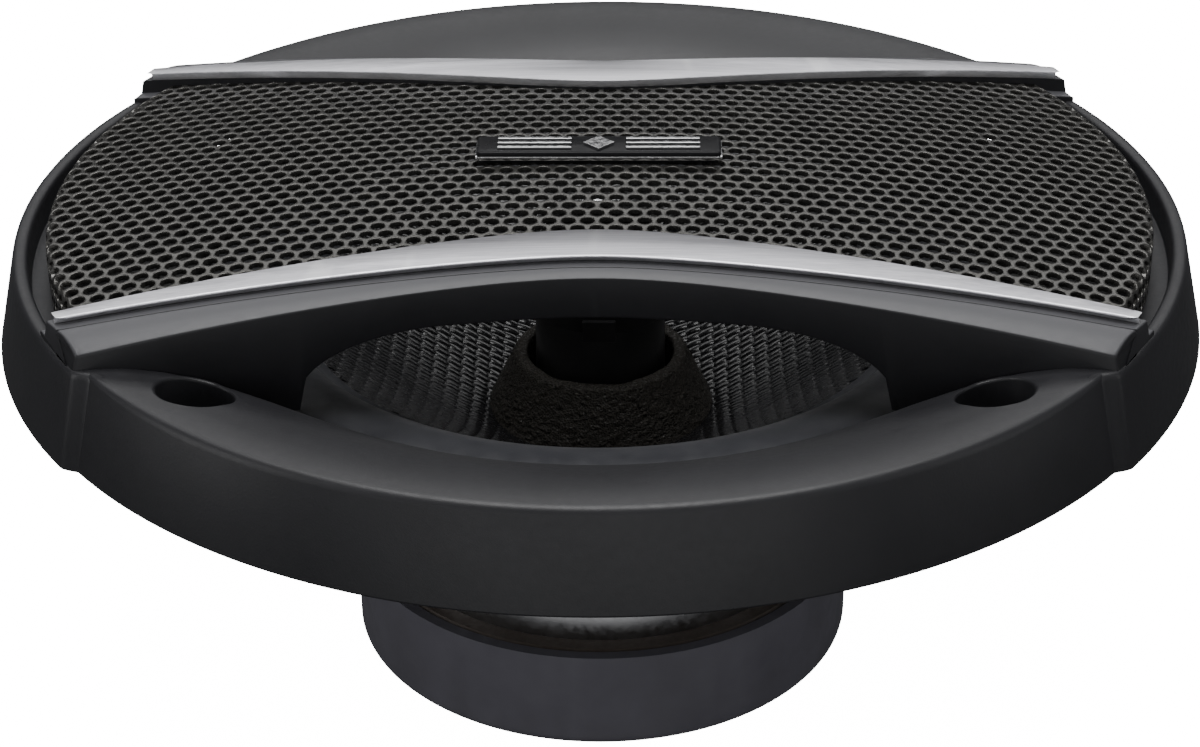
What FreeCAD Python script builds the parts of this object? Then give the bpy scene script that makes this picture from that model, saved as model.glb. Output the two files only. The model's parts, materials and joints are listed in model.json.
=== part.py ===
"""A 6.5 inch coaxial car speaker with a bridged grille.

Frame: millimetres, +Z out of the grille, +X along the grille's bridge.
The origin is the centre of the mounting plane, the underside of the grille's rim.
"""
import FreeCAD, Part
import math
import os
import re

import Sketcher

Vector = FreeCAD.Vector

# ---------------------------------------------------------------------------------------
# Dimensions: alias and value, or the formula that ties it to another
# ---------------------------------------------------------------------------------------
DIMENSIONS = {
    # grille rim, all round
    "rim_radius": 88.0,
    "rim_top_radius": "=rim_radius - 3.3",
    "rim_height": "=crown_height - 9.4",
    "rim_wall": 2.2,
    "lip_radius": "=landing_inner_radius - 1",
    "lip_height": "=landing_height + 8.5",
    # proud side walls at the ends of the bridge
    "side_proud": 1.4,
    "side_sector_angle": 74.0,
    "side_crest_width": 1.9,
    "side_crest_drop": 0.9,
    "side_crest_edge": 0.4,
    "trench_wall": 1.8,
    "trench_radius": "=rim_top_radius - 0.7",
    "trench_floor": "=rim_height - 4.3",
    "trench_ledge_radius": "=trench_radius - 5.5",
    # the bridge: two rails that carry the trims and the mesh
    "crown_height": 23.5,
    "crown_radius": 532.0,
    "face_centre": "=trim_outer_centre + 3.5",
    "face_slope": 0.21,
    "face_knee": 13.1,
    "trim_outer_centre": "=trim_inner_centre + 8.2",
    "trim_outer_slope": 0.14,
    "trim_outer_knee": 9.2,
    "trim_inner_centre": 26.3,
    "trim_inner_slope": 0.235,
    "trim_inner_knee": 10.8,
    "trim_thickness": 1.2,
    "trim_glue": 0.05,
    "trim_end_radius": "=rim_top_radius + 0.6",
    "bevel_drop": 0.6,
    "bevel_end_drop": 1.5,
    "rail_ledge": 2.0,
    "rail_ledge_gap": 0.3,
    "rail_foot_height": 4.5,
    "arch_half_width": 40.5,
    "arch_height": "=crown_height - 7.9",
    "arch_corner_width": 20.0,
    "arch_corner_height": 9.0,
    # mesh
    "mesh_height": "=crown_height - 0.8",
    "mesh_crown": "=crown_radius + 18",
    "mesh_sheet": 0.8,
    "mesh_radius": "=trench_radius - 2.5",
    "mesh_skirt_bottom": "=trench_floor + 0.8",
    # badge
    "badge_length": 36.4,
    "badge_width": 6.4,
    "badge_thickness": 1.8,
    "badge_relief": 0.35,
    "badge_edge": 0.4,
    # mounting screws
    "screw_circle": "=rim_radius * 2 - 25.7",
    "screw_hole": 4.5,
    "recess_diameter": "=screw_hole + 5.9",
    "recess_floor": 3.0,
    "boss_wall": 1.6,
    # basket
    "basket_sheet": 1.0,
    "flange_radius": "=rim_radius - 5",
    "flange_inner_radius": "=landing_outer_radius + 1",
    "landing_outer_radius": "=rim_radius - 19.5",
    "landing_inner_radius": "=landing_outer_radius - 6.5",
    "landing_height": -2.5,
    "ledge_outer_radius": "=magnet_radius + 2",
    "ledge_inner_radius": "=ledge_outer_radius - 5",
    "ledge_height": "=plate_top + 9.5",
    "basket_floor_radius": "=ledge_inner_radius - 2",
    "basket_floor_hole": "=magnet_bore",
    "window_inner_radius": "=ledge_outer_radius + 0.174 * (landing_inner_radius - ledge_outer_radius)",
    "window_outer_radius": "=landing_inner_radius - 4",
    "window_inner_width": 10.0,
    "window_outer_width": 16.0,
    "window_count": 12,
    # motor
    "plate_top": -36.5,
    "top_plate_thickness": 4.0,
    "top_plate_radius": "=magnet_radius - 3",
    "magnet_thickness": 10.0,
    "magnet_radius": 37.0,
    "magnet_bore": "=pole_radius + 3.7",
    "magnet_edge": 0.6,
    "back_plate_thickness": 4.0,
    "back_plate_radius": "=magnet_radius - 2",
    "pole_radius": "=post_radius + 2.4",
    "pole_rise": 0.5,
    "pole_bore": "=stem_radius + clearance",
    "boot_radius": "=magnet_radius + boot_fit + boot_wall",
    "boot_wall": 1.7,
    "boot_floor": 1.9,
    "boot_fit": 0.1,
    "boot_round": 1.6,
    # voice coil
    "former_thickness": 0.15,
    "winding_thickness": 0.45,
    "gap_clearance": 0.35,
    "coil_depth": 6.5,
    "winding_height": 9.0,
    # cone, surround and spider
    "cone_neck_height": "=plate_top + 14.5",
    "cone_edge_radius": "=landing_inner_radius - 18",
    "cone_edge_height": "=landing_height",
    "cone_lip": 3.0,
    "cone_sheet": 0.5,
    "surround_sheet": 0.6,
    "surround_rise": 4.2,
    "gasket_height": 3.4,
    "gasket_width": 4.6,
    "spider_sheet": 0.5,
    "spider_wave": 1.3,
    "spider_neck_height": 3.0,
    # dust collar
    "collar_foot_radius": "=collar_top_radius + 4.3",
    "collar_top_radius": "=collar_bore + 1.7",
    "collar_top_height": "=post_top - 7.6",
    "collar_bore": "=post_radius + 1.3",
    # tweeter post
    "post_radius": 9.9,
    "post_top": -2.0,
    "post_bore": "=stem_radius - 1.1",
    "stem_radius": 3.6,
    "nut_radius": "=stem_radius + 2.4",
    "nut_thickness": 1.4,
    "wire_hole": 3.2,
    "wire_hole_drop": 2.2,
    # tweeter
    "housing_radius": "=post_radius + 0.8",
    "housing_wall": 0.9,
    "housing_bottom": "=post_top + 0.4",
    "housing_top": "=housing_bottom + 14",
    "housing_floor": 1.0,
    "housing_chamfer": 0.6,
    "yoke_radius": "=housing_radius - housing_wall - 1.4",
    "yoke_wall": 1.1,
    "yoke_height": 6.0,
    "tweeter_magnet_radius": "=yoke_radius - 2.4",
    "tweeter_magnet_thickness": 3.0,
    "tweeter_plate_thickness": 1.3,
    "tweeter_gap": 0.3,
    "tweeter_winding": 0.3,
    "tweeter_coil_height": 4.0,
    "dome_height": 2.2,
    "dome_sheet": 0.25,
    "dome_edge_radius": "=housing_radius - housing_wall - 0.5",
    "face_ring_bore": "=dome_edge_radius - 1.3",
    "face_ring_thickness": 1.9,
    "clip_width": 5.0,
    "clip_thickness": 0.8,
    "clip_height": 3.4,
    # rivets and eyelets
    "rivet_circle": "=basket_floor_hole + basket_floor_radius",
    "rivet_shank": 3.0,
    "rivet_head": 5.2,
    "rivet_head_thickness": 0.8,
    "rivet_depth": 2.0,
    # terminals
    "board_width": 30.0,
    "board_height": 14.0,
    "board_thickness": 1.6,
    "board_gap": 2.55,
    "board_face": "=board_gap + ledge_outer_radius + (board_top - ledge_height)"
                  " * (landing_inner_radius - ledge_outer_radius) / (landing_height - ledge_height)",
    "board_top": "=ledge_height + 9",
    "lug_width": 9.0,
    "lug_height": "=ledge_height + 1",
    "terminal_spacing": 19.0,
    "terminal_thickness": 0.8,
    "terminal_length": 21.0,
    "positive_width": 6.3,
    "negative_width": 4.8,
    "terminal_rivet_drop": 4.0,
    "board_rivet_drop": 10.0,
    "small_rivet_shank": 1.8,
    "small_rivet_head": 3.2,
    "small_rivet_head_thickness": 0.6,
    "capacitor_diameter": 6.4,
    "capacitor_length": 10.0,
    # leads
    "tinsel_diameter": 1.2,
    "tinsel_run_in": 3.2,
    "tinsel_run_down": 2.4,
    "eyelet_distance": "=pole_radius + 7.3",
    "eyelet_radius": 1.5,
    "eyelet_thickness": 0.7,
    "wire_diameter": 1.0,
    "clearance": 0.1,
}

ALIAS = re.compile(r"[a-z]+(?:_[a-z]+)+|clearance")

doc = FreeCAD.newDocument("coaxial_speaker")
sizes = doc.addObject("Spreadsheet::Sheet", "Sizes")
for row, alias in enumerate(DIMENSIONS, start=1):
    sizes.set(f"A{row}", alias)
    sizes.setAlias(f"B{row}", alias)
for row, value in enumerate(DIMENSIONS.values(), start=1):
    sizes.set(f"B{row}", str(value))
doc.recompute()


# ---------------------------------------------------------------------------------------
# Helpers
# ---------------------------------------------------------------------------------------
def bound(expression):
    """The expression with each size named in it read from the sheet."""
    return ALIAS.sub(lambda match: f"Sizes.{match.group(0)}", str(expression))


def value_of(expression):
    """The present value of an expression of sizes."""
    result = sizes.evalExpression(bound(expression))
    return float(getattr(result, "Value", result))


def bind(item, **expressions):
    """Binds properties of an object to expressions of sizes."""
    for name, expression in expressions.items():
        item.setExpression(name.replace("__", "."), bound(expression))


def origin_plane(body, role):
    return next(feature for feature in body.Origin.OriginFeatures if feature.Role == role)


def new_sketch(body, role, name, height=0):
    """An empty sketch on one of the body's own origin planes, raised along its normal."""
    sketch = body.newObject("Sketcher::SketchObject", name)
    sketch.AttachmentSupport = [(origin_plane(body, role), "")]
    sketch.MapMode = "FlatFace"
    if height:
        sketch.setExpression(".AttachmentOffset.Base.z", bound(height))
    return sketch


def arc_between(start, end, radius):
    """The minor arc from start to end. A positive radius bulges to the right of the way there."""
    chord = end - start
    half = chord.Length / 2
    across = Vector(-chord.y, chord.x, 0).normalize()
    side = 1 if radius > 0 else -1
    centre = start + chord * 0.5 + across * side * math.sqrt(max(radius * radius - half * half, 0))
    first = math.atan2(start.y - centre.y, start.x - centre.x)
    last = math.atan2(end.y - centre.y, end.x - centre.x)
    circle = Part.Circle(centre, Vector(0, 0, 1), abs(radius))
    if side > 0:
        return Part.ArcOfCircle(circle, first, last)
    return Part.ArcOfCircle(circle, last, first)


def pin_point(sketch, geometry, point, horizontal, vertical, name):
    """Fixes a point of the sketch at two expressions of sizes."""
    for kind, axis, expression in (("DistanceX", -2, horizontal), ("DistanceY", -1, vertical)):
        if expression == 0:
            sketch.addConstraint(Sketcher.Constraint("PointOnObject", geometry, point, axis))
            continue
        amount = value_of(expression)
        index = sketch.addConstraint(Sketcher.Constraint(kind, -1, 1, geometry, point, amount))
        label = f"{name}_{kind}"
        sketch.renameConstraint(index, label)
        sketch.setExpression(f"Constraints.{label}", bound(expression))


def draw_outline(sketch, corners):
    """A closed outline of corners (x, y), or (x, y, radius) where an arc leaves the corner."""
    spots = [Vector(value_of(corner[0]), value_of(corner[1]), 0) for corner in corners]
    ends = []
    for index, corner in enumerate(corners):
        start, end = spots[index], spots[(index + 1) % len(spots)]
        if len(corner) == 3:
            radius = value_of(corner[2])
            geometry = sketch.addGeometry(arc_between(start, end, radius), False)
            ends.append((geometry, 1, 2) if radius > 0 else (geometry, 2, 1))
        else:
            geometry = sketch.addGeometry(Part.LineSegment(start, end), False)
            ends.append((geometry, 1, 2))
    for index, corner in enumerate(corners):
        geometry, first, last = ends[index]
        following, next_first, _ = ends[(index + 1) % len(ends)]
        sketch.addConstraint(
            Sketcher.Constraint("Coincident", geometry, last, following, next_first)
        )
        pin_point(sketch, geometry, first, corner[0], corner[1], f"corner{index}")
        if len(corner) == 3:
            length = abs(value_of(corner[2]))
            radius = sketch.addConstraint(Sketcher.Constraint("Radius", geometry, length))
            sketch.renameConstraint(radius, f"arc{index}")
            sketch.setExpression(f"Constraints.arc{index}", f"abs({bound(corner[2])})")
    return sketch


def turned(label, corners, angle=None):
    """A body of revolution about Z, from an outline of (radius, height) corners."""
    body = doc.addObject("PartDesign::Body", label)
    sketch = draw_outline(new_sketch(body, "XZ_Plane", f"{label}_profile"), corners)
    turn = body.newObject("PartDesign::Revolution", f"{label}_turn")
    turn.Profile = sketch
    turn.ReferenceAxis = (sketch, ["V_Axis"])
    turn.Angle = 360
    if angle:
        turn.Midplane = True
        bind(turn, Angle=angle)
    sketch.Visibility = False
    return body


def ring(label, inner, outer, bottom, top):
    """A plain ring or disc: an inner radius of 0 makes a disc."""
    return turned(label, [(inner, bottom), (outer, bottom), (outer, top), (inner, top)])


def around(body, label, corners, count, height=0):
    """Cuts an outline in plan right through the body, repeated about Z."""
    sketch = draw_outline(new_sketch(body, "XY_Plane", f"{label}_plan", height), corners)
    pocket = body.newObject("PartDesign::Pocket", label)
    pocket.Profile = sketch
    pocket.Type = 1
    pocket.Midplane = True
    pattern = body.newObject("PartDesign::PolarPattern", f"{label}_pattern")
    pattern.Originals = [pocket]
    pattern.Axis = (sketch, ["N_Axis"])
    pattern.Angle = 360
    bind(pattern, Occurrences=count)
    body.Tip = pattern


def cylinder(label, radius, bottom, top, x=0, y=0):
    """An upright cylinder between two heights."""
    item = doc.addObject("Part::Cylinder", label)
    bind(item, Radius=radius, Height=f"({top}) - ({bottom})")
    bind(item, Placement__Base__x=x, Placement__Base__y=y, Placement__Base__z=bottom)
    return item


def block(label, width, depth, height, x, y, z):
    """A box centred on x, from y and z upwards."""
    item = doc.addObject("Part::Box", label)
    bind(item, Length=width, Width=depth, Height=height)
    bind(item, Placement__Base__x=f"{x} - ({width}) / 2", Placement__Base__y=y)
    bind(item, Placement__Base__z=z)
    return item


def level_cylinder(label, radius, length, x, y, z):
    """A cylinder lying along +Y from y."""
    item = doc.addObject("Part::Cylinder", label)
    item.Placement = FreeCAD.Placement(Vector(), FreeCAD.Rotation(Vector(1, 0, 0), -90))
    bind(item, Radius=radius, Height=length)
    bind(item, Placement__Base__x=x, Placement__Base__y=y, Placement__Base__z=z)
    return item


def joined(label, items):
    item = doc.addObject("Part::MultiFuse", label)
    item.Shapes = items
    return item


def less(label, base, tool):
    item = doc.addObject("Part::Cut", label)
    item.Base = base
    item.Tool = tool
    return item


def shared(label, base, tool):
    item = doc.addObject("Part::Common", label)
    item.Base = base
    item.Tool = tool
    return item


def grouped(label, items):
    item = doc.addObject("Part::Compound", label)
    item.Links = items
    return item


def coded(label, shape):
    """A piece whose shape is worked out below from the sheet's sizes."""
    item = doc.addObject("Part::Feature", label)
    item.Shape = shape
    item.Placement = FreeCAD.Placement()
    return item


def quarter_spots(circle, first_angle=45):
    """The (x, y) expressions of four places on a circle of that diameter."""
    angles = [first_angle + 90 * step for step in range(4)]
    return [(f"{circle} / 2 * cos({a} deg)", f"{circle} / 2 * sin({a} deg)") for a in angles]


# ---------------------------------------------------------------------------------------
# Plan and crown of the grille's bridge
# ---------------------------------------------------------------------------------------
def waisted(name, x):
    """Distance from the middle of the bridge to one of its lines: narrow at the centre."""
    knee = value_of(f"{name}_knee")
    rise = value_of(f"{name}_slope") * (math.hypot(x, knee) - knee)
    return value_of(f"{name}_centre") + rise


def crown(x):
    """Height of the trims' top face."""
    return value_of("crown_height") - x * x / (2 * value_of("crown_radius"))


def mesh_top(x, y):
    """Height of the mesh's top face."""
    radius = value_of("mesh_crown")
    return value_of("mesh_height") - radius + math.sqrt(radius * radius - x * x - y * y)


def bevel_foot(x):
    """Height where the rail's sloping top meets its front face."""
    share = (x / value_of("rim_top_radius")) ** 2
    drop = value_of("bevel_drop") + value_of("bevel_end_drop") * share
    return crown(x) - value_of("trim_thickness") - drop


def stations(reach, count=25):
    return [reach * (2 * step / (count - 1) - 1) for step in range(count)]


def lofted(section_at, reach):
    """A solid along X through one closed section of (y, z) corners at each station."""
    wires = []
    for x in stations(reach):
        points = [Vector(x, y, z) for y, z in section_at(x)]
        wires.append(Part.makePolygon(points + points[:1]))
    return Part.makeLoft(wires, True, False)


def plan_block(distance_at, reach, bottom, top):
    """An upright block between plus and minus a distance from the middle of the bridge."""
    front = [Vector(x, -distance_at(x), bottom) for x in stations(reach)]
    rear = [Vector(x, distance_at(x), bottom) for x in reversed(stations(reach))]
    sides = []
    for points in (front, rear):
        curve = Part.BSplineCurve()
        curve.interpolate(points)
        sides.append(curve.toShape())
    ends = [Part.makeLine(front[-1], rear[0]), Part.makeLine(rear[-1], front[0])]
    wire = Part.Wire([sides[0], ends[0], sides[1], ends[1]])
    return Part.Face(wire).extrude(Vector(0, 0, top - bottom))


# ---------------------------------------------------------------------------------------
# Grille
# ---------------------------------------------------------------------------------------
BEYOND = 5  # how far a cutting shape runs past what it cuts
MESH_EDGE_TOP = "mesh_height - mesh_crown + sqrt(mesh_crown * mesh_crown - mesh_radius * mesh_radius)"
# Crown of the ring's top face: shares of the way outwards from its lip, and of the way up
RIM_CURVE = [(0.0, 0.0), (0.17, 0.3), (0.38, 0.61), (0.59, 0.83), (0.8, 0.96)]
RIM_TOP = [
    (f"lip_radius + (rim_top_radius - lip_radius) * {out}", f"lip_height + (rim_height - lip_height) * {up}")
    for out, up in RIM_CURVE
] + [("rim_top_radius - 0.8", "rim_height"), ("rim_top_radius + 0.3", "rim_height - 1")]


def rim_shell():
    """The moulded ring: sloping top face, drafted outer wall, open underneath."""
    under = [(radius, f"{height} - rim_wall") for radius, height in reversed(RIM_TOP[:-2])]
    corners = RIM_TOP + [
        ("rim_radius", 0),
        ("rim_radius - rim_wall", 0),
        ("rim_top_radius - rim_wall", "rim_height - rim_wall * 1.2"),
    ]
    return turned("rim_shell", corners + under)


def rim_envelope():
    """The space under the ring's top face, for trimming the screw bosses."""
    base = "basket_sheet"
    return turned("rim_envelope", RIM_TOP + [("rim_radius - rim_wall", base), ("lip_radius", base)])


def side_walls():
    """The proud walls at the two ends of the bridge, with the trench the mesh dips into."""
    outer = "rim_radius + side_proud"
    crest = "rim_top_radius + side_proud"
    corners = [
        (outer, 0),
        (f"{crest} + side_crest_edge", "rim_height - side_crest_drop"),
        (f"{crest} - side_crest_edge", "rim_height"),
        (f"{crest} - side_crest_width + side_crest_edge", "rim_height"),
        (f"{crest} - side_crest_width", "rim_height - side_crest_drop"),
        ("trench_radius", "trench_floor"),
        ("trench_ledge_radius", "trench_floor"),
        ("trench_ledge_radius", "trench_floor - trench_wall"),
        ("trench_radius + trench_wall", "trench_floor - trench_wall"),
        (f"{outer} - rim_wall", 0),
    ]
    body = turned("side_walls", corners, angle="side_sector_angle")
    pattern = body.newObject("PartDesign::PolarPattern", "side_walls_pattern")
    pattern.Originals = [body.Tip]
    pattern.Axis = (origin_plane(body, "Z_Axis"), [""])
    pattern.Angle = 360
    pattern.Occurrences = 2
    body.Tip = pattern
    return body


def rail_section(x):
    """Section of the front rail: mesh ledge, trim seat, bevel and front face."""
    wall = value_of("rim_wall")
    inner = waisted("trim_inner", x)
    outer = waisted("trim_outer", x)
    face = waisted("face", x)
    seat = crown(x) - value_of("trim_thickness")
    ledge = mesh_top(x, inner) - value_of("mesh_sheet + rail_ledge_gap")
    tip = inner - value_of("rail_ledge")
    foot = value_of("rail_foot_height")
    corners = [
        (tip, ledge),
        (inner, ledge),
        (inner, seat),
        (outer, seat),
        (face, bevel_foot(x)),
        (face, foot),
        (face - wall, foot),
        (face - wall, bevel_foot(x) - wall),
        (inner + wall, ledge - wall),
        (tip, ledge - wall * 0.6),
    ]
    return [(-y, z) for y, z in corners]


def arch_tool():
    """What is cut from a rail's face to leave the arch over the opening."""
    half = value_of("arch_half_width")
    top = value_of("arch_height")
    across = value_of("arch_corner_width")
    drop = value_of("arch_corner_height")
    quarter = [math.pi / 2 * step / 12 for step in range(13)]
    arcs = []
    for side in (-1, 1):
        centre = side * (half - across)
        arcs.append([
            Vector(centre + side * across * math.cos(turn), 0, top - drop + drop * math.sin(turn))
            for turn in quarter
        ])
    left, right = arcs
    curves = []
    for points in (left, right):
        curve = Part.BSplineCurve()
        curve.interpolate(points)
        curves.append(curve.toShape())
    corner_left = Vector(-half, 0, -BEYOND)
    corner_right = Vector(half, 0, -BEYOND)
    edges = [
        Part.makeLine(corner_left, left[0]),
        curves[0],
        Part.makeLine(left[-1], right[-1]),
        curves[1],
        Part.makeLine(right[0], corner_right),
        Part.makeLine(corner_right, corner_left),
    ]
    face = Part.Face(Part.Wire(Part.__sortEdges__(edges)))
    depth = value_of("rim_radius")
    return face.extrude(Vector(0, -depth, 0))


def rail_front():
    """The front rail, trimmed to the rim's drafted wall."""
    outer = value_of("rim_radius + side_proud")
    inner = value_of("rim_top_radius + side_proud")
    height = value_of("rim_height")
    reach = outer * 0.98
    top = value_of("crown_height")
    cone_top = outer + (inner - outer) * top / height
    frustum = Part.makeCone(outer, cone_top, top)
    return lofted(rail_section, reach).common(frustum).cut(arch_tool())


def grille_bezel():
    reach = value_of("rim_radius") + BEYOND
    half_wall = value_of("rim_wall") / 2
    height = value_of("crown_height") + BEYOND
    gap = coded("bridge_gap", plan_block(lambda x: waisted("face", x) - half_wall, reach, -BEYOND, height))
    segments = less("rim_segments", rim_shell(), gap)
    front = coded("rail_front", rail_front())
    rear = doc.addObject("Part::Mirroring", "rail_rear")
    rear.Source = front
    rear.Normal = Vector(0, 1, 0)
    posts = []
    holes = []
    for index, (x, y) in enumerate(quarter_spots("screw_circle")):
        recess = "recess_diameter / 2"
        above = f"rim_height + {BEYOND}"
        posts.append(cylinder(f"boss_post{index}", f"{recess} + boss_wall", "basket_sheet", above, x, y))
        holes.append(cylinder(f"recess{index}", recess, "recess_floor", above, x, y))
        holes.append(cylinder(f"screw_way{index}", "screw_hole / 2", -BEYOND, "rim_height", x, y))
    bosses = shared("bosses", grouped("boss_posts", posts), rim_envelope())
    shell = joined("bezel_shell", [segments, side_walls(), front, rear, bosses])
    holes.append(mesh_slots())
    return less("grille_bezel", shell, grouped("bezel_holes", holes))


def mesh_plan(label, gap):
    """The space in plan between the two trims, less a gap at each."""
    reach = value_of("rim_radius") + BEYOND
    height = value_of("crown_height") + BEYOND
    return coded(label, plan_block(lambda x: waisted("trim_inner", x) - gap, reach, 0, height))


def mesh_slots():
    """Slots in the rails' ledges for the ends of the mesh's skirt."""
    slot = ring(
        "skirt_slot", "mesh_radius - mesh_sheet - clearance", "mesh_radius + clearance",
        "mesh_skirt_bottom - clearance", f"{MESH_EDGE_TOP} + clearance",
    )
    return shared("mesh_slots", slot, mesh_plan("slot_plan", 0))


def grille_mesh():
    """The domed sheet between the trims, its two ends turned down into the trenches."""
    edge = "mesh_radius"
    inner = "mesh_radius - mesh_sheet"
    corners = [
        (0, "mesh_height - mesh_sheet", "-(mesh_crown + 2 * mesh_sheet)"),
        (inner, MESH_EDGE_TOP + " - mesh_sheet"),
        (inner, "mesh_skirt_bottom"),
        (edge, "mesh_skirt_bottom"),
        (edge, MESH_EDGE_TOP, "mesh_crown"),
        (0, "mesh_height"),
    ]
    dome = turned("mesh_dome", corners)
    return shared("grille_mesh", dome, mesh_plan("mesh_outline", value_of("clearance")))


def trim(label, side):
    """A brushed strip along one rail: side -1 is the front, 1 the rear."""
    def section(x):
        inner = waisted("trim_inner", x)
        outer = waisted("trim_outer", x)
        top = crown(x)
        bottom = top - value_of("trim_thickness - trim_glue")
        edge = value_of("trim_thickness") * 0.3
        corners = [(inner, bottom), (outer, bottom), (outer, top - edge), (outer - edge, top), (inner, top)]
        return [(side * y, z) for y, z in corners]

    radius = value_of("trim_end_radius")
    cutter = Part.makeCylinder(radius, value_of("crown_height") + 1)
    return coded(label, lofted(section, radius).common(cutter))


def badge():
    """A raised plate in the middle of the mesh, with a plain emblem of bars and a lozenge."""
    bottom = "mesh_height + clearance / 2"
    top = f"{bottom} + badge_thickness"
    plate = block(
        "badge_block", "badge_length", "badge_width", "badge_thickness", 0, "-badge_width / 2", bottom,
    )
    chamfer = doc.addObject("Part::Chamfer", "badge_plate")
    chamfer.Base = plate
    edges = []
    doc.recompute()
    for index, edge in enumerate(plate.Shape.Edges, start=1):
        if edge.BoundBox.ZMin > value_of(top) - 0.01:
            edges.append((index, value_of("badge_edge"), value_of("badge_edge")))
    chamfer.Edges = edges
    lozenge = doc.addObject("Part::RegularPolygon", "lozenge_outline")
    lozenge.Polygon = 4
    bind(lozenge, Circumradius="badge_width * 0.36", Placement__Base__z=top)
    centre = doc.addObject("Part::Extrusion", "lozenge")
    centre.Base = lozenge
    centre.Dir = Vector(0, 0, 1)
    centre.Solid = True
    bind(centre, LengthFwd="badge_relief")
    bars = []
    for side in (-1, 1):
        for row in (-1, 0, 1):
            length = "badge_length * 0.3"
            x = f"{side} * badge_length * 0.26"
            y = f"{row} * badge_width * 0.24 - badge_width * 0.05"
            name = f"badge_bar{len(bars)}"
            bars.append(block(name, length, "badge_width * 0.1", "badge_relief", x, y, top))
    return [chamfer, grouped("badge_emblem", [centre] + bars)]


# ---------------------------------------------------------------------------------------
# Basket, gasket and rivets
# ---------------------------------------------------------------------------------------
def basket():
    """One pressed sheet: floor on the motor, spider ledge, windowed wall, landing, flange."""
    lower = [
        ("basket_floor_hole", "plate_top"),
        ("basket_floor_radius", "plate_top"),
        ("ledge_inner_radius", "ledge_height - basket_sheet"),
        ("ledge_outer_radius", "ledge_height - basket_sheet"),
        ("landing_inner_radius", "landing_height - basket_sheet"),
        ("landing_outer_radius", "landing_height - basket_sheet"),
        ("flange_inner_radius", 0),
        ("flange_radius", 0),
    ]
    upper = [
        ("flange_radius", "basket_sheet"),
        ("flange_inner_radius - basket_sheet", "basket_sheet"),
        ("landing_outer_radius - basket_sheet", "landing_height"),
        ("landing_inner_radius - basket_sheet", "landing_height"),
        ("ledge_outer_radius - basket_sheet", "ledge_height"),
        ("ledge_inner_radius - basket_sheet", "ledge_height"),
        ("basket_floor_radius - basket_sheet", "plate_top + basket_sheet"),
        ("basket_floor_hole", "plate_top + basket_sheet"),
    ]
    body = turned("basket_pressing", lower + upper)
    half_turn = "180 deg / window_count"
    corners = []
    for radius, width, side in (
        ("window_inner_radius", "window_inner_width", -1),
        ("window_outer_radius", "window_outer_width", -1),
        ("window_outer_radius", "window_outer_width", 1),
        ("window_inner_radius", "window_inner_width", 1),
    ):
        x = f"{radius} * cos({half_turn}) - {side} * {width} / 2 * sin({half_turn})"
        y = f"{radius} * sin({half_turn}) + {side} * {width} / 2 * cos({half_turn})"
        corners.append((x, y))
    around(body, "windows", corners, "window_count")
    tools = [
        cylinder(f"flange_hole{index}", "screw_hole / 2", -1, "basket_sheet + 1", x, y)
        for index, (x, y) in enumerate(quarter_spots("screw_circle"))
    ]
    tools += [
        cylinder(f"floor_hole{index}", "rivet_shank / 2", "plate_top - 1", "plate_top + 3", x, y)
        for index, (x, y) in enumerate(quarter_spots("rivet_circle", 0))
    ]
    wall_radius = "ledge_outer_radius + 1"
    arm_depth = f"board_face - ({wall_radius})"
    arm = block("lug_arm", "lug_width", arm_depth, "basket_sheet", 0, wall_radius, "lug_height")
    tab_bottom = "board_top - board_rivet_drop - small_rivet_head"
    tab_height = f"lug_height + basket_sheet - ({tab_bottom})"
    tab_back = "board_face - basket_sheet"
    tab = block("lug_tab", "lug_width", "basket_sheet", tab_height, 0, tab_back, tab_bottom)
    tools.append(board_rivet_hole("lug_rivet_hole"))
    return less("basket", joined("basket_blank", [body, arm, tab]), grouped("basket_holes", tools))


def basket_rivets():
    rivets = []
    for index, (x, y) in enumerate(quarter_spots("rivet_circle", 0)):
        top = "plate_top + basket_sheet"
        bottom = "plate_top - rivet_depth"
        head_top = f"{top} + rivet_head_thickness"
        shank = cylinder(f"rivet_shank{index}", "rivet_shank / 2", bottom, top, x, y)
        head = cylinder(f"rivet_head{index}", "rivet_head / 2", top, head_top, x, y)
        rivets.append(joined(f"rivet{index}", [shank, head]))
    return grouped("basket_rivets", rivets)


def surround_gasket():
    outer = "landing_outer_radius - basket_sheet - 0.3"
    bottom = "landing_height + surround_sheet"
    return ring("surround_gasket", f"{outer} - gasket_width", outer, bottom, f"{bottom} + gasket_height")


# ---------------------------------------------------------------------------------------
# Motor
# ---------------------------------------------------------------------------------------
COIL_INNER = "pole_radius + gap_clearance"
COIL_OUTER = "pole_radius + gap_clearance + former_thickness + winding_thickness"
MAGNET_TOP = "plate_top - top_plate_thickness"
MAGNET_BOTTOM = f"{MAGNET_TOP} - magnet_thickness"
BACK_BOTTOM = f"{MAGNET_BOTTOM} - back_plate_thickness"
SLOT_WIDTH = "wire_diameter * 3.6"
SLOT_DEPTH = "wire_diameter * 1.4"
NUT_BOTTOM = f"{BACK_BOTTOM} + {SLOT_DEPTH} + clearance"


def top_plate():
    bore = f"{COIL_OUTER} + gap_clearance"
    plate = ring("top_plate_disc", bore, "top_plate_radius", MAGNET_TOP, "plate_top")
    holes = [
        cylinder(f"plate_hole{index}", "rivet_shank / 2", "plate_top - rivet_depth", "plate_top + 1", x, y)
        for index, (x, y) in enumerate(quarter_spots("rivet_circle", 0))
    ]
    return less("top_plate", plate, grouped("plate_holes", holes))


def magnet():
    edge = "magnet_edge"
    corners = [
        ("magnet_bore", MAGNET_BOTTOM),
        (f"magnet_radius - {edge}", MAGNET_BOTTOM),
        ("magnet_radius", f"{MAGNET_BOTTOM} + {edge}"),
        ("magnet_radius", f"{MAGNET_TOP} - {edge}"),
        (f"magnet_radius - {edge}", MAGNET_TOP),
        ("magnet_bore", MAGNET_TOP),
    ]
    return turned("magnet", corners)


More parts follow.
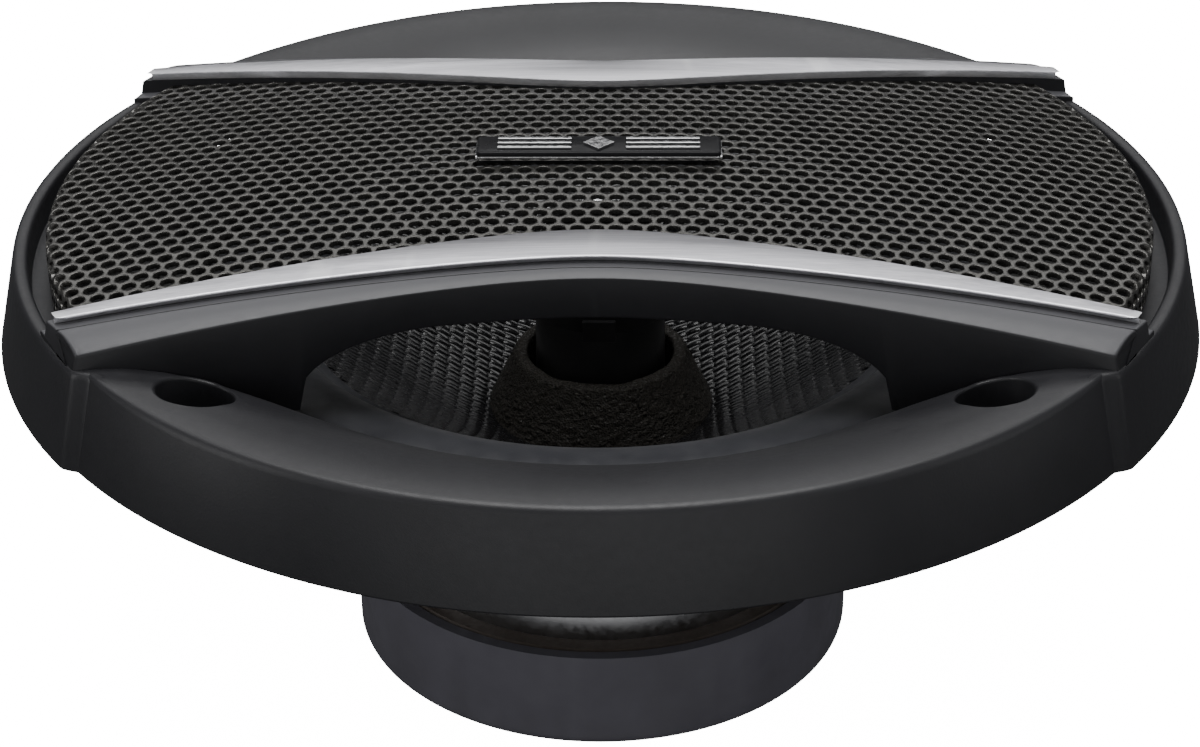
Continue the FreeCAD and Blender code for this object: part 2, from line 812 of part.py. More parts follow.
def back_plate():
    """Back plate and pole in one forging, bored for the tweeter's stem and slotted for its wires."""
    seat = f"{NUT_BOTTOM} + nut_thickness + clearance"
    corners = [
        ("nut_radius + clearance", BACK_BOTTOM),
        ("back_plate_radius", BACK_BOTTOM),
        ("back_plate_radius", MAGNET_BOTTOM),
        ("pole_radius", MAGNET_BOTTOM),
        ("pole_radius", "plate_top + pole_rise"),
        ("pole_bore", "plate_top + pole_rise"),
        ("pole_bore", seat),
        ("nut_radius + clearance", seat),
    ]
    forging = turned("pole_forging", corners)
    slot = block("wire_slot", SLOT_WIDTH, "back_plate_radius + 1", SLOT_DEPTH, 0, 0, BACK_BOTTOM)
    return less("back_plate", forging, slot)


def magnet_boot():
    """The moulded cup over the motor, with an inside groove that lets the tweeter's wires up."""
    bottom = f"{BACK_BOTTOM} - boot_floor"
    inner = "magnet_radius + boot_fit"
    corners = [
        (0, bottom),
        ("boot_radius - boot_round", bottom, "boot_round"),
        ("boot_radius", f"{bottom} + boot_round"),
        ("boot_radius", MAGNET_TOP),
        (inner, MAGNET_TOP),
        (inner, BACK_BOTTOM),
        (0, BACK_BOTTOM),
    ]
    cup = turned("boot_cup", corners)
    depth = "wire_diameter + 2 * clearance"
    height = f"magnet_thickness + back_plate_thickness + {BEYOND}"
    groove = block("boot_groove", SLOT_WIDTH, depth, height, 0, "magnet_radius", BACK_BOTTOM)
    return less("magnet_boot", cup, groove)


# ---------------------------------------------------------------------------------------
# Moving system
# ---------------------------------------------------------------------------------------
FORMER_OUTER = f"{COIL_INNER} + former_thickness"
FORMER_TOP = "cone_neck_height + 2"
COIL_BOTTOM = "plate_top - coil_depth"
CONE_FOOT = f"{FORMER_OUTER} + clearance / 2"
CONE_SLOPE = f"(cone_edge_height - cone_neck_height) / (cone_edge_radius - ({CONE_FOOT}))"


def cone_height(radius):
    """Height of the cone's upper face at a radius."""
    return f"cone_neck_height + cone_sheet + ({radius} - ({CONE_FOOT})) * {CONE_SLOPE}"


def voice_coil():
    former = ring("voice_coil_former", COIL_INNER, FORMER_OUTER, COIL_BOTTOM, FORMER_TOP)
    winding = ring("voice_coil", FORMER_OUTER, COIL_OUTER, COIL_BOTTOM, f"{COIL_BOTTOM} + winding_height")
    return [former, winding]


def cone():
    """Pressed cloth cone with a flat lip for the surround."""
    lip = "cone_edge_radius + cone_lip"
    corners = [
        (CONE_FOOT, "cone_neck_height"),
        ("cone_edge_radius", "cone_edge_height"),
        (lip, "cone_edge_height"),
        (lip, "cone_edge_height + cone_sheet"),
        ("cone_edge_radius", "cone_edge_height + cone_sheet"),
        (CONE_FOOT, "cone_neck_height + cone_sheet"),
    ]
    return turned("cone", corners)


def dust_collar():
    """The felt collar on the cone round the tweeter's post."""
    lift = "clearance / 2"
    inner = f"{CONE_FOOT} + 0.6"
    corners = [
        (inner, f"{cone_height(inner)} + {lift}"),
        ("collar_foot_radius", f"{cone_height('collar_foot_radius')} + {lift}"),
        ("collar_top_radius", "collar_top_height"),
        ("collar_bore", "collar_top_height"),
        ("collar_bore", f"{FORMER_TOP} + clearance"),
        (inner, f"{FORMER_TOP} + clearance"),
    ]
    return turned("dust_collar", corners)


def surround():
    """Half-roll surround, glued on the cone's lip and on the basket's landing."""
    cone_side = "cone_edge_radius + cone_lip"
    rim_side = "landing_inner_radius - basket_sheet + 0.4"
    outer = "landing_outer_radius - basket_sheet - 0.3"
    low = "cone_edge_height + cone_sheet"
    foot = "landing_height"
    width = f"(({rim_side}) - ({cone_side}))"
    radius = f"(({width} * {width} / 4 + surround_rise * surround_rise) / (2 * surround_rise))"
    corners = [
        ("cone_edge_radius + 0.5", low),
        (cone_side, low, f"-({radius})"),
        (rim_side, foot),
        (outer, foot),
        (outer, f"{foot} + surround_sheet"),
        (rim_side, f"{foot} + surround_sheet", f"{radius} + surround_sheet / 2"),
        (cone_side, f"{low} + surround_sheet"),
        ("cone_edge_radius + 0.5", f"{low} + surround_sheet"),
    ]
    return turned("surround", corners)


def spider():
    """Corrugated disc that centres the coil."""
    waves = 5
    inner = f"{FORMER_OUTER} + clearance"
    foot = "ledge_inner_radius - basket_sheet - 0.5"
    rest = "ledge_height"
    upper = []
    lower = []
    for step in range(2 * waves + 1):
        share = (step + 1) / (2 * waves + 2)
        radius = f"{inner} + ({foot} - ({inner})) * {share}"
        swing = "spider_wave" if step % 2 else "-spider_wave"
        lower.append((radius, f"{rest} + {swing} * 0.5"))
        upper.append((radius, f"{rest} + {swing} * 0.5 + spider_sheet"))
    corners = [(inner, rest)] + lower + [
        (foot, rest),
        ("ledge_outer_radius - basket_sheet - 0.3", rest),
        ("ledge_outer_radius - basket_sheet - 0.3", f"{rest} + spider_sheet"),
        (foot, f"{rest} + spider_sheet"),
    ] + upper[::-1] + [
        (f"{inner} + spider_sheet", f"{rest} + spider_neck_height"),
        (inner, f"{rest} + spider_neck_height"),
    ]
    return turned("spider", corners)


# ---------------------------------------------------------------------------------------
# Tweeter
# ---------------------------------------------------------------------------------------
WIRE_WAY = "post_top - wire_hole_drop"
YOKE_BOTTOM = "post_top + clearance + housing_floor"
YOKE_TOP = f"{YOKE_BOTTOM} + yoke_height"
TWEETER_COIL = "tweeter_magnet_radius + tweeter_gap"
DOME_BASE = f"{YOKE_TOP} + 0.8"


def tweeter_post():
    """The post on the pole, with a hollow stem that is held by a push nut at the back."""
    foot = "plate_top + pole_rise"
    corners = [
        ("post_bore", NUT_BOTTOM),
        ("stem_radius", NUT_BOTTOM),
        ("stem_radius", foot),
        ("post_radius", foot),
        ("post_radius", "post_top"),
        ("post_bore", "post_top"),
    ]
    post = turned("post_turning", corners)
    way = doc.addObject("Part::Cylinder", "post_wire_way")
    way.Placement = FreeCAD.Placement(Vector(), FreeCAD.Rotation(Vector(0, 1, 0), 90))
    bind(way, Radius="wire_hole / 2", Height="post_radius * 2 + 4")
    bind(way, Placement__Base__x="-post_radius - 2", Placement__Base__z=WIRE_WAY)
    return less("tweeter_post", post, way)


def post_nut():
    inner = "stem_radius + clearance / 2"
    return ring("post_nut", inner, "nut_radius", NUT_BOTTOM, f"{NUT_BOTTOM} + nut_thickness")


def tweeter_housing():
    inner = "housing_radius - housing_wall"
    hole = "yoke_radius * 0.6"
    corners = [
        ("post_radius + clearance", "housing_bottom"),
        ("housing_radius", "housing_bottom"),
        ("housing_radius", "housing_top - housing_chamfer"),
        ("housing_radius - housing_chamfer", "housing_top"),
        (inner, "housing_top"),
        (inner, YOKE_BOTTOM),
        (hole, YOKE_BOTTOM),
        (hole, "post_top + clearance"),
        ("post_radius + clearance", "post_top + clearance"),
    ]
    shell = turned("housing_shell", corners)
    notches = [
        block(
            f"wire_notch{side + 1}", "wire_hole * 2", "wire_hole", "wire_hole + 1",
            f"{side} * housing_radius", "-wire_hole / 2", "housing_bottom - wire_hole / 2",
        )
        for side in (-1, 1)
    ]
    return less("tweeter_housing", shell, grouped("wire_notches", notches))


def tweeter_clip():
    """The snap tab that shows under the front of the housing."""
    y = "-housing_radius - clearance - clip_thickness"
    bottom = "housing_bottom - clearance - clip_thickness"
    tab = block("clip_tab", "clip_width", "clip_thickness", "clip_height", 0, y, bottom)
    hook = block("clip_hook", "clip_width", "clip_thickness * 2", "clip_thickness", 0, y, bottom)
    return joined("tweeter_clip", [tab, hook])


def tweeter_motor():
    cup = [
        (0, YOKE_BOTTOM),
        ("yoke_radius", YOKE_BOTTOM),
        ("yoke_radius", YOKE_TOP),
        ("yoke_radius - yoke_wall", YOKE_TOP),
        ("yoke_radius - yoke_wall", f"{YOKE_BOTTOM} + yoke_wall"),
        (0, f"{YOKE_BOTTOM} + yoke_wall"),
    ]
    seat = f"{YOKE_BOTTOM} + yoke_wall"
    plate_bottom = f"{seat} + tweeter_magnet_thickness"
    plate_top = f"{plate_bottom} + tweeter_plate_thickness"
    return [
        turned("tweeter_yoke", cup),
        ring("tweeter_magnet", 0, "tweeter_magnet_radius - 0.2", seat, plate_bottom),
        ring("tweeter_pole_plate", 0, "tweeter_magnet_radius", plate_bottom, plate_top),
    ]


def tweeter_diaphragm():
    """The coil on its dome, and the dome's flat edge."""
    coil_outer = f"{TWEETER_COIL} + tweeter_winding"
    coil_bottom = f"{DOME_BASE} - tweeter_coil_height"
    coil = ring("tweeter_voice_coil", TWEETER_COIL, coil_outer, coil_bottom, DOME_BASE)
    chord = f"(({coil_outer}) * ({coil_outer}) + dome_height * dome_height) / (2 * dome_height)"
    corners = [
        (0, f"{DOME_BASE} + dome_height", f"-({chord})"),
        (coil_outer, DOME_BASE),
        ("dome_edge_radius", DOME_BASE),
        ("dome_edge_radius", f"{DOME_BASE} + dome_sheet"),
        (coil_outer, f"{DOME_BASE} + dome_sheet", f"{chord}"),
        (0, f"{DOME_BASE} + dome_height + dome_sheet"),
    ]
    return [coil, turned("tweeter_dome", corners)]


def tweeter_face_ring():
    """The bright ring in the mouth of the housing."""
    outer = "housing_radius - housing_wall - 0.2"
    corners = [
        ("face_ring_bore", "housing_top - face_ring_thickness"),
        (outer, "housing_top - face_ring_thickness"),
        (outer, "housing_top - 0.2"),
        ("face_ring_bore + 0.9", "housing_top - 0.2"),
        ("face_ring_bore", "housing_top - 1"),
    ]
    return turned("tweeter_face_ring", corners)


# ---------------------------------------------------------------------------------------
# Terminals and crossover
# ---------------------------------------------------------------------------------------
TERMINAL_HEIGHT = "board_top - terminal_rivet_drop"
OUTER_FACE = "board_face + board_thickness"


def board_rivet_hole(label):
    return level_cylinder(
        label, "small_rivet_shank / 2", "board_thickness + basket_sheet + 2",
        0, "board_face - basket_sheet - 1", "board_top - board_rivet_drop",
    )


def terminal_rivet_holes(label):
    return [
        level_cylinder(
            f"{label}{side + 1}", "small_rivet_shank / 2", "board_thickness + terminal_thickness + 2",
            f"{side} * terminal_spacing / 2", "board_face - 1", TERMINAL_HEIGHT,
        )
        for side in (-1, 1)
    ]


def terminal_board():
    panel = block(
        "board_panel", "board_width", "board_thickness", "board_height",
        0, "board_face", "board_top - board_height",
    )
    holes = terminal_rivet_holes("board_terminal_hole") + [board_rivet_hole("board_lug_hole")]
    return less("terminal_board", panel, grouped("board_holes", holes))


def terminal(label, side, width):
    """A push-on tab that hangs below the board."""
    x = f"{side} * terminal_spacing / 2"
    bottom = f"{TERMINAL_HEIGHT} + small_rivet_head / 2 - terminal_length"
    tab = block(f"{label}_tab", width, "terminal_thickness", "terminal_length", x, OUTER_FACE, bottom)
    hole = terminal_rivet_holes(f"{label}_hole")[(side + 1) // 2]
    return less(label, tab, hole)


def small_rivet(name, x, z, start, length):
    """A rivet along +Y with a head at each end of a stack of that length."""
    thickness = "small_rivet_head_thickness"
    head = "small_rivet_head / 2"
    return joined(name, [
        level_cylinder(f"{name}_shank", "small_rivet_shank / 2", length, x, start, z),
        level_cylinder(f"{name}_inner", head, thickness, x, f"{start} - {thickness}", z),
        level_cylinder(f"{name}_outer", head, thickness, x, f"{start} + {length}", z),
    ])


def rivets_of_terminals():
    stack = "board_thickness + terminal_thickness"
    rivets = []
    for side in (-1, 1):
        x = f"{side} * terminal_spacing / 2"
        rivets.append(small_rivet(f"terminal_rivet{side + 1}", x, TERMINAL_HEIGHT, "board_face", stack))
    return grouped("terminal_rivets", rivets)


def board_rivet():
    stack = "board_thickness + basket_sheet"
    height = "board_top - board_rivet_drop"
    return small_rivet("board_rivet", "0", height, "board_face - basket_sheet", stack)


def capacitor():
    """The tweeter's series capacitor, lying on the board between the terminals."""
    can = doc.addObject("Part::Cylinder", "capacitor_can")
    can.Placement = FreeCAD.Placement(Vector(), FreeCAD.Rotation(Vector(0, 1, 0), 90))
    bind(can, Radius="capacitor_diameter / 2", Height="capacitor_length")
    bind(can, Placement__Base__x="-capacitor_length / 2")
    bind(can, Placement__Base__y=f"{OUTER_FACE} + capacitor_diameter / 2", Placement__Base__z=TERMINAL_HEIGHT)
    fillet = doc.addObject("Part::Fillet", "crossover_capacitor")
    fillet.Base = can
    doc.recompute()
    fillet.Edges = [(index, 0.6, 0.6) for index, edge in enumerate(can.Shape.Edges, start=1) if edge.Closed]
    return fillet


# ---------------------------------------------------------------------------------------
# Leads
# ---------------------------------------------------------------------------------------
def smooth_path(route):
    """Straight runs joined by tangent arcs, and the radius of each arc.

    A place on the route is (x, y, z), or (x, y, z, radius) where the lead is folded round an edge.
    """
    edges = []
    radii = []
    points = [Vector(*place[:3]) for place in route]
    at = points[0]
    for index, corner in enumerate(points[1:-1], start=1):
        back = points[index - 1] - corner
        ahead = points[index + 1] - corner
        turn = math.pi - back.getAngle(ahead)
        setback = 0.45 * min(back.Length, ahead.Length)
        if len(route[index]) == 4:
            setback = min(setback, route[index][3] * math.tan(turn / 2))
        start = corner + Vector(back).normalize() * setback
        end = corner + Vector(ahead).normalize() * setback
        radius = setback / math.tan(turn / 2)
        inward = (Vector(back).normalize() + Vector(ahead).normalize()).normalize()
        middle = corner + inward * (radius / math.cos(turn / 2) - radius)
        edges.append(Part.makeLine(at, start))
        edges.append(Part.Arc(start, middle, end).toShape())
        radii.append(radius)
        at = end
    edges.append(Part.makeLine(at, points[-1]))
    return Part.Wire(edges), radii


def lead(label, diameter, points):
    """A round lead along a route of points."""
    path, radii = smooth_path(points)
    size = value_of(diameter)
    start = Vector(*points[0][:3])
    direction = Vector(*points[1][:3]) - start
    section = Part.Wire([Part.makeCircle(size / 2, start, direction)])
    tube = path.makePipeShell([section], True, False)
    expected = path.Length * math.pi * size * size / 4
    print(f"{label}: length {path.Length:.1f}, radii {[round(r, 1) for r in radii]},"
          f" volume {tube.Volume / expected:.4f} of section times length")
    return coded(label, tube)


# Places along a tinsel lead: share of the way out to the board, and height above the eyelet
TINSEL_SAG = [(0.095, -2.7), (0.25, -4.4), (0.435, -3.4), (0.605, -0.6), (0.757, 0.6)]


def tinsel_lead(label, side):
    """From the underside of the cone through a window to the back of the terminal board."""
    offset = side * value_of("terminal_spacing") / 2
    start = value_of("eyelet_distance")
    end = value_of("board_face - small_rivet_head_thickness - 2 * clearance")
    below_cone = 2.29
    height = value_of(cone_height(str(math.hypot(offset, start)))) - below_cone
    points = [(offset, start, height)]
    for share, rise in TINSEL_SAG:
        points.append((offset, start + (end - start) * share, height + rise))
    terminal = value_of(TERMINAL_HEIGHT)
    points.append((offset, end - value_of("tinsel_run_in"), terminal + value_of("tinsel_run_down")))
    points.append((offset, end, terminal))
    return lead(label, "tinsel_diameter", points)


def lead_eyelets():
    """Two eyelets under the cone where the tinsel leads are soldered."""
    eyelets = []
    slope = math.atan(value_of(CONE_SLOPE))
    y = value_of("eyelet_distance")
    x = value_of("terminal_spacing") / 2
    radius = math.hypot(x, y)
    drop = value_of("eyelet_thickness + clearance / 2")
    shift = 1 + drop * math.sin(slope) / radius
    height = value_of(cone_height(str(radius))) - value_of("cone_sheet") / math.cos(slope) ** 2
    for side in (-1, 1):
        lean = FreeCAD.Rotation(Vector(-y, side * x, 0), -math.degrees(slope))
        base = Vector(side * x * shift, y * shift, height - drop * math.cos(slope))
        item = doc.addObject("Part::Cylinder", f"eyelet{side + 1}")
        item.Placement = FreeCAD.Placement(base, lean)
        bind(item, Radius="eyelet_radius", Height="eyelet_thickness")
        eyelets.append(item)
    return grouped("lead_eyelets", eyelets)


def tweeter_wire(label, side):
    """From the tweeter down the hollow post, under the back plate and up to the terminals."""
    thickness = value_of("wire_diameter")
    fold = thickness * 1.5
    middle = side * thickness * 1.1
    way = value_of(WIRE_WAY)
    loop = side * value_of("housing_radius + wire_diameter * 0.7")
    slot = value_of(f"{BACK_BOTTOM} + {SLOT_DEPTH} / 2")
    groove = value_of("magnet_radius + clearance + wire_diameter / 2")
    board = value_of(OUTER_FACE)
    terminal_x = side * value_of("terminal_spacing") / 2
    bottom = value_of("housing_bottom")
    points = [
        (side * value_of("yoke_radius + 0.6"), 0, bottom + 2.7),
        (loop, 0, bottom + 0.4),
        (loop, 0, way),
        (middle, 0, way, fold),
        (middle, 0, slot, fold),
        (middle, groove, slot, fold),
        (middle, groove, slot + 15.0),
        (middle * 1.6, groove + 6.0, slot + 18.5),
        (terminal_x * 0.5, board + 2.4, slot + 17.0),
        (terminal_x, board + 1.4, slot + 22.5),
    ]
    return lead(label, "wire_diameter", points)


# ---------------------------------------------------------------------------------------
# Build, check and write
# ---------------------------------------------------------------------------------------
def build():
    pieces = [grille_bezel(), grille_mesh(), trim("trim_front", -1), trim("trim_rear", 1)]
    pieces += badge()
    pieces += [basket(), basket_rivets(), surround_gasket(), surround(), cone(), dust_collar()]
    pieces += voice_coil()
    pieces += [spider(), top_plate(), magnet(), back_plate(), magnet_boot()]
    pieces += [tweeter_post(), post_nut(), tweeter_housing(), tweeter_clip()]
    pieces += tweeter_motor() + tweeter_diaphragm() + [tweeter_face_ring()]
    pieces += [terminal_board(), rivets_of_terminals(), board_rivet(), capacitor()]
    pieces += [terminal("terminal_positive", 1, "positive_width")]
    pieces += [terminal("terminal_negative", -1, "negative_width")]
    pieces += [tinsel_lead("tinsel_lead_positive", 1), tinsel_lead("tinsel_lead_negative", -1)]
    pieces += [lead_eyelets(), tweeter_wire("tweeter_wire_red", -1), tweeter_wire("tweeter_wire_black", 1)]
    return pieces


def check(pieces):
    """Stops if any object failed or any piece has no sound shape."""
    for item in doc.Objects:
        if {"Invalid", "Error"} & set(item.State):
            raise RuntimeError(f"{item.Label} failed: {item.State}")
    for piece in pieces:
        if piece.Shape.isNull() or not piece.Shape.isValid() or not piece.Shape.Solids:
            raise RuntimeError(f"{piece.Label} has no sound solid")


def main():
    pieces = build()
    doc.recompute()
    check(pieces)
    os.makedirs("parts", exist_ok=True)
    for piece in pieces:
        piece.Shape.exportStep(f"parts/{piece.Label}.step")
        print(piece.Label, len(piece.Shape.Solids), "solids", round(piece.Shape.Volume, 1), "mm3")


main()
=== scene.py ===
"""Looks of a 6.5 inch coaxial car speaker with a bridged grille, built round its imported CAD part.

Lengths below are millimetres unless a comment says otherwise. Meshes are scaled to metres when made.
"""

import json
import math
import bmesh
import bpy
import numpy as np
from mathutils import Matrix, Vector


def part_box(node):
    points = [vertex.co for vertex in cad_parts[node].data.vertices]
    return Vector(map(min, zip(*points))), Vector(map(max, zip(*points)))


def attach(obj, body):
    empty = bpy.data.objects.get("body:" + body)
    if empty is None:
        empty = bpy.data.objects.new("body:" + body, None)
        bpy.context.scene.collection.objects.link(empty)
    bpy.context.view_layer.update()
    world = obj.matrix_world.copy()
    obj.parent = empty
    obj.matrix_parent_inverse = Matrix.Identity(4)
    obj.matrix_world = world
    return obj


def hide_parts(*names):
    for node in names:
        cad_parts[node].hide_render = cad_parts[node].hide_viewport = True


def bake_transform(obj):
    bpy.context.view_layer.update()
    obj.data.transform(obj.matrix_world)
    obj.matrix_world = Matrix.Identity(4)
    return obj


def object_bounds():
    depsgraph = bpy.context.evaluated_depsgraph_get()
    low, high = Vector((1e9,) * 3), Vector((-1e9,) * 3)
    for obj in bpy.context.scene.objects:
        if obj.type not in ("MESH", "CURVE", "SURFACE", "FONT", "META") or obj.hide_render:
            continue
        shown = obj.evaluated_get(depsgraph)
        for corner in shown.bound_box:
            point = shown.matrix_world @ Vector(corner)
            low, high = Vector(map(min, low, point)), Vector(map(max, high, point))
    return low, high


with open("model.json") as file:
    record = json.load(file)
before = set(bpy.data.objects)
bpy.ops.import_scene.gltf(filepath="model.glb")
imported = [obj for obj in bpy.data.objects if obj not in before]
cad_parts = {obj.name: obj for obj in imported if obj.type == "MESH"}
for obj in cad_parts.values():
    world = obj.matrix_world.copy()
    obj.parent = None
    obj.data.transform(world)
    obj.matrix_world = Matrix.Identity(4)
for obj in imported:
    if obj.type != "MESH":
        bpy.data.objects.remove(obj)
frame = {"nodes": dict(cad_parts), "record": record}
cad_low, cad_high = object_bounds()

MM = 0.001


def low(node, axis):
    """Lowest coordinate of a CAD node along an axis, in millimetres."""
    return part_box(node)[0][axis] / MM


def high(node, axis):
    """Highest coordinate of a CAD node along an axis, in millimetres."""
    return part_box(node)[1][axis] / MM


X, Y, Z = 0, 1, 2

# ---- Sizes of the grille ----
# Lines along the bridge by their distance from its middle: (at the centre, slope towards the
# ends, length of the knee between them)
FACE = (38.0, 0.21, 13.1)
TRIM_OUTER = (34.5, 0.14, 9.2)
TRIM_INNER = (26.3, 0.235, 10.8)
CROWN = high("trim_front", Z)
CROWN_RADIUS = 532.0
TRIM_THICKNESS = 1.2
TRIM_END = 85.3
MESH_TOP = high("grille_mesh", Z)
MESH_CROWN = 550.0
MESH_SHEET = 0.8
MESH_RADIUS = high("grille_mesh", X)
MESH_BOTTOM = low("grille_mesh", Z)
RIM_RADIUS = 88.0
RIM_TOP_RADIUS = 84.7
RIM_HEIGHT = 14.1
WALL = 2.2
LIP_RADIUS = 61.0
PROUD = high("grille_bezel", X) - RIM_RADIUS
WALL_DRAFT = 0.234
BEVEL_DROP = 0.6
BEVEL_FALL = 1.5
# Points of the ring's sloping top face as (radius, height)
RIM_FACE = [(61, 6), (65, 8.4), (70, 10.9), (75, 12.7), (80, 13.8), (83.9, 14.1)]
SCREW_SPOT = 150.3 / 2 * math.cos(math.radians(45))
SCREW_RADIUS = 2.25
RECESS_RADIUS = 5.2
RECESS_FLOOR = 3.0
BOSS_RADIUS = 6.8


def waisted(line, x):
    """Distance from the middle of the bridge to one of its lines."""
    centre, slope, knee = line
    return centre + slope * (np.hypot(x, knee) - knee)


def crown(x):
    """Height of the top of the trims along the bridge."""
    return CROWN - x * x / (2 * CROWN_RADIUS)


def mesh_top(x, y):
    """Height of the domed sheet's upper face."""
    return MESH_TOP - MESH_CROWN + np.sqrt(MESH_CROWN ** 2 - x * x - y * y)


def bevel_foot(x):
    """Height where the rail's sloping top meets its front face."""
    return crown(x) - TRIM_THICKNESS - BEVEL_DROP - BEVEL_FALL * (x / RIM_TOP_RADIUS) ** 2


def rim_face(radius):
    """Height of the ring's sloping top face."""
    return np.interp(radius, [r for r, _ in RIM_FACE], [z for _, z in RIM_FACE])


def eased(value):
    """0 to 1 with a level start and end."""
    value = np.clip(value, 0, 1)
    return value * value * (3 - 2 * value)


# ---- Mesh helpers ----
SHARP_ANGLE = 38
WELD_DISTANCE = 0.002
SLIVER_LENGTH = 0.001
CORNER_SHARE = 0.48


class Shape:
    """Points and faces gathered from one or several grids, before they become one mesh."""

    def __init__(self, rows=None, **closing):
        self.points = []
        self.faces = []
        if rows is not None:
            self.grid(rows, **closing)

    def add(self, points, faces):
        start = len(self.points)
        self.points.extend(map(tuple, np.asarray(points, float).reshape(-1, 3)))
        self.faces.extend([tuple(start + index for index in face) for face in faces])

    def grid(self, rows, wrap_rows=False, wrap_columns=False, caps=False):
        """A grid of points (rows, columns, 3), closed round either way, with end caps."""
        rows = np.asarray(rows, float)
        count, width = rows.shape[:2]
        faces = []
        for row in range(count if wrap_rows else count - 1):
            after = (row + 1) % count
            for column in range(width if wrap_columns else width - 1):
                beside = (column + 1) % width
                faces.append((
                    row * width + column, row * width + beside,
                    after * width + beside, after * width + column,
                ))
        if caps:
            faces.append(tuple(range(width))[::-1])
            faces.append(tuple((count - 1) * width + column for column in range(width)))
        self.add(rows, faces)

    def mirrored(self):
        """Adds a copy on the other side of the bridge."""
        points = [(x, -y, z) for x, y, z in self.points]
        self.add(points, [face[::-1] for face in list(self.faces)])


def rounded(corners, steps=4):
    """A closed outline whose corners (a, b, radius) are turned into small arcs.

    An arc takes up at most CORNER_SHARE of the sides beside it.
    """
    spots = np.array([corner[:2] for corner in corners], float)
    outline = []
    for index, corner in enumerate(corners):
        spot = spots[index]
        radius = corner[2] if len(corner) > 2 else 0
        if not radius:
            outline.append(spot)
            continue
        back = spots[index - 1] - spot
        ahead = spots[(index + 1) % len(spots)] - spot
        back_length, ahead_length = np.linalg.norm(back), np.linalg.norm(ahead)
        setback = min(radius, CORNER_SHARE * back_length, CORNER_SHARE * ahead_length)
        start = spot + back / back_length * setback
        end = spot + ahead / ahead_length * setback
        for step in range(steps + 1):
            t = step / steps
            outline.append((1 - t) ** 2 * start + 2 * t * (1 - t) * spot + t * t * end)
    return np.array(outline)


def turned_rows(outline, steps=144):
    """Rows of points from turning an outline of (radius, height) about Z."""
    angles = np.linspace(0, 2 * math.pi, steps, endpoint=False)
    outline = np.asarray(outline, float)
    return np.array([
        np.stack([outline[:, 0] * math.cos(a), outline[:, 0] * math.sin(a), outline[:, 1]], axis=1)
        for a in angles
    ])


def new_object(name, shape, material, sharp_angle=SHARP_ANGLE):
    """A mesh object in metres, with its faces turned outwards and its sharp edges marked."""
    mesh = bpy.data.meshes.new(name)
    points = (np.array(shape.points, float) * MM).tolist()
    mesh.from_pydata(points, [], shape.faces)
    build = bmesh.new()
    build.from_mesh(mesh)
    bmesh.ops.remove_doubles(build, verts=build.verts, dist=WELD_DISTANCE * MM)
    bmesh.ops.dissolve_degenerate(build, edges=build.edges, dist=SLIVER_LENGTH * MM)
    bmesh.ops.recalc_face_normals(build, faces=build.faces)
    build.to_mesh(mesh)
    build.free()
    mesh.materials.append(material)
    mesh.shade_smooth()
    mesh.set_sharp_from_angle(angle=math.radians(sharp_angle))
    item = bpy.data.objects.new(name, mesh)
    bpy.context.scene.collection.objects.link(item)
    return item


def placed(item, body, slot, *nodes):
    """Puts a finished piece on its body in place of its CAD nodes."""
    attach(item, body)
    if nodes:
        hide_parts(*nodes)


def piece(name, shape, body, slot, *nodes, material=None, sharp_angle=SHARP_ANGLE):
    """Makes a piece in its slot's own finish, or in another one, and puts it in its place."""
    placed(new_object(name, shape, material or FINISHES[slot], sharp_angle), body, slot, *nodes)


# ---- Materials ----
# The bands of a wave texture of scale 1 are this far apart
WAVE_REPEAT = 0.314
WINDING_PITCH = 0.25


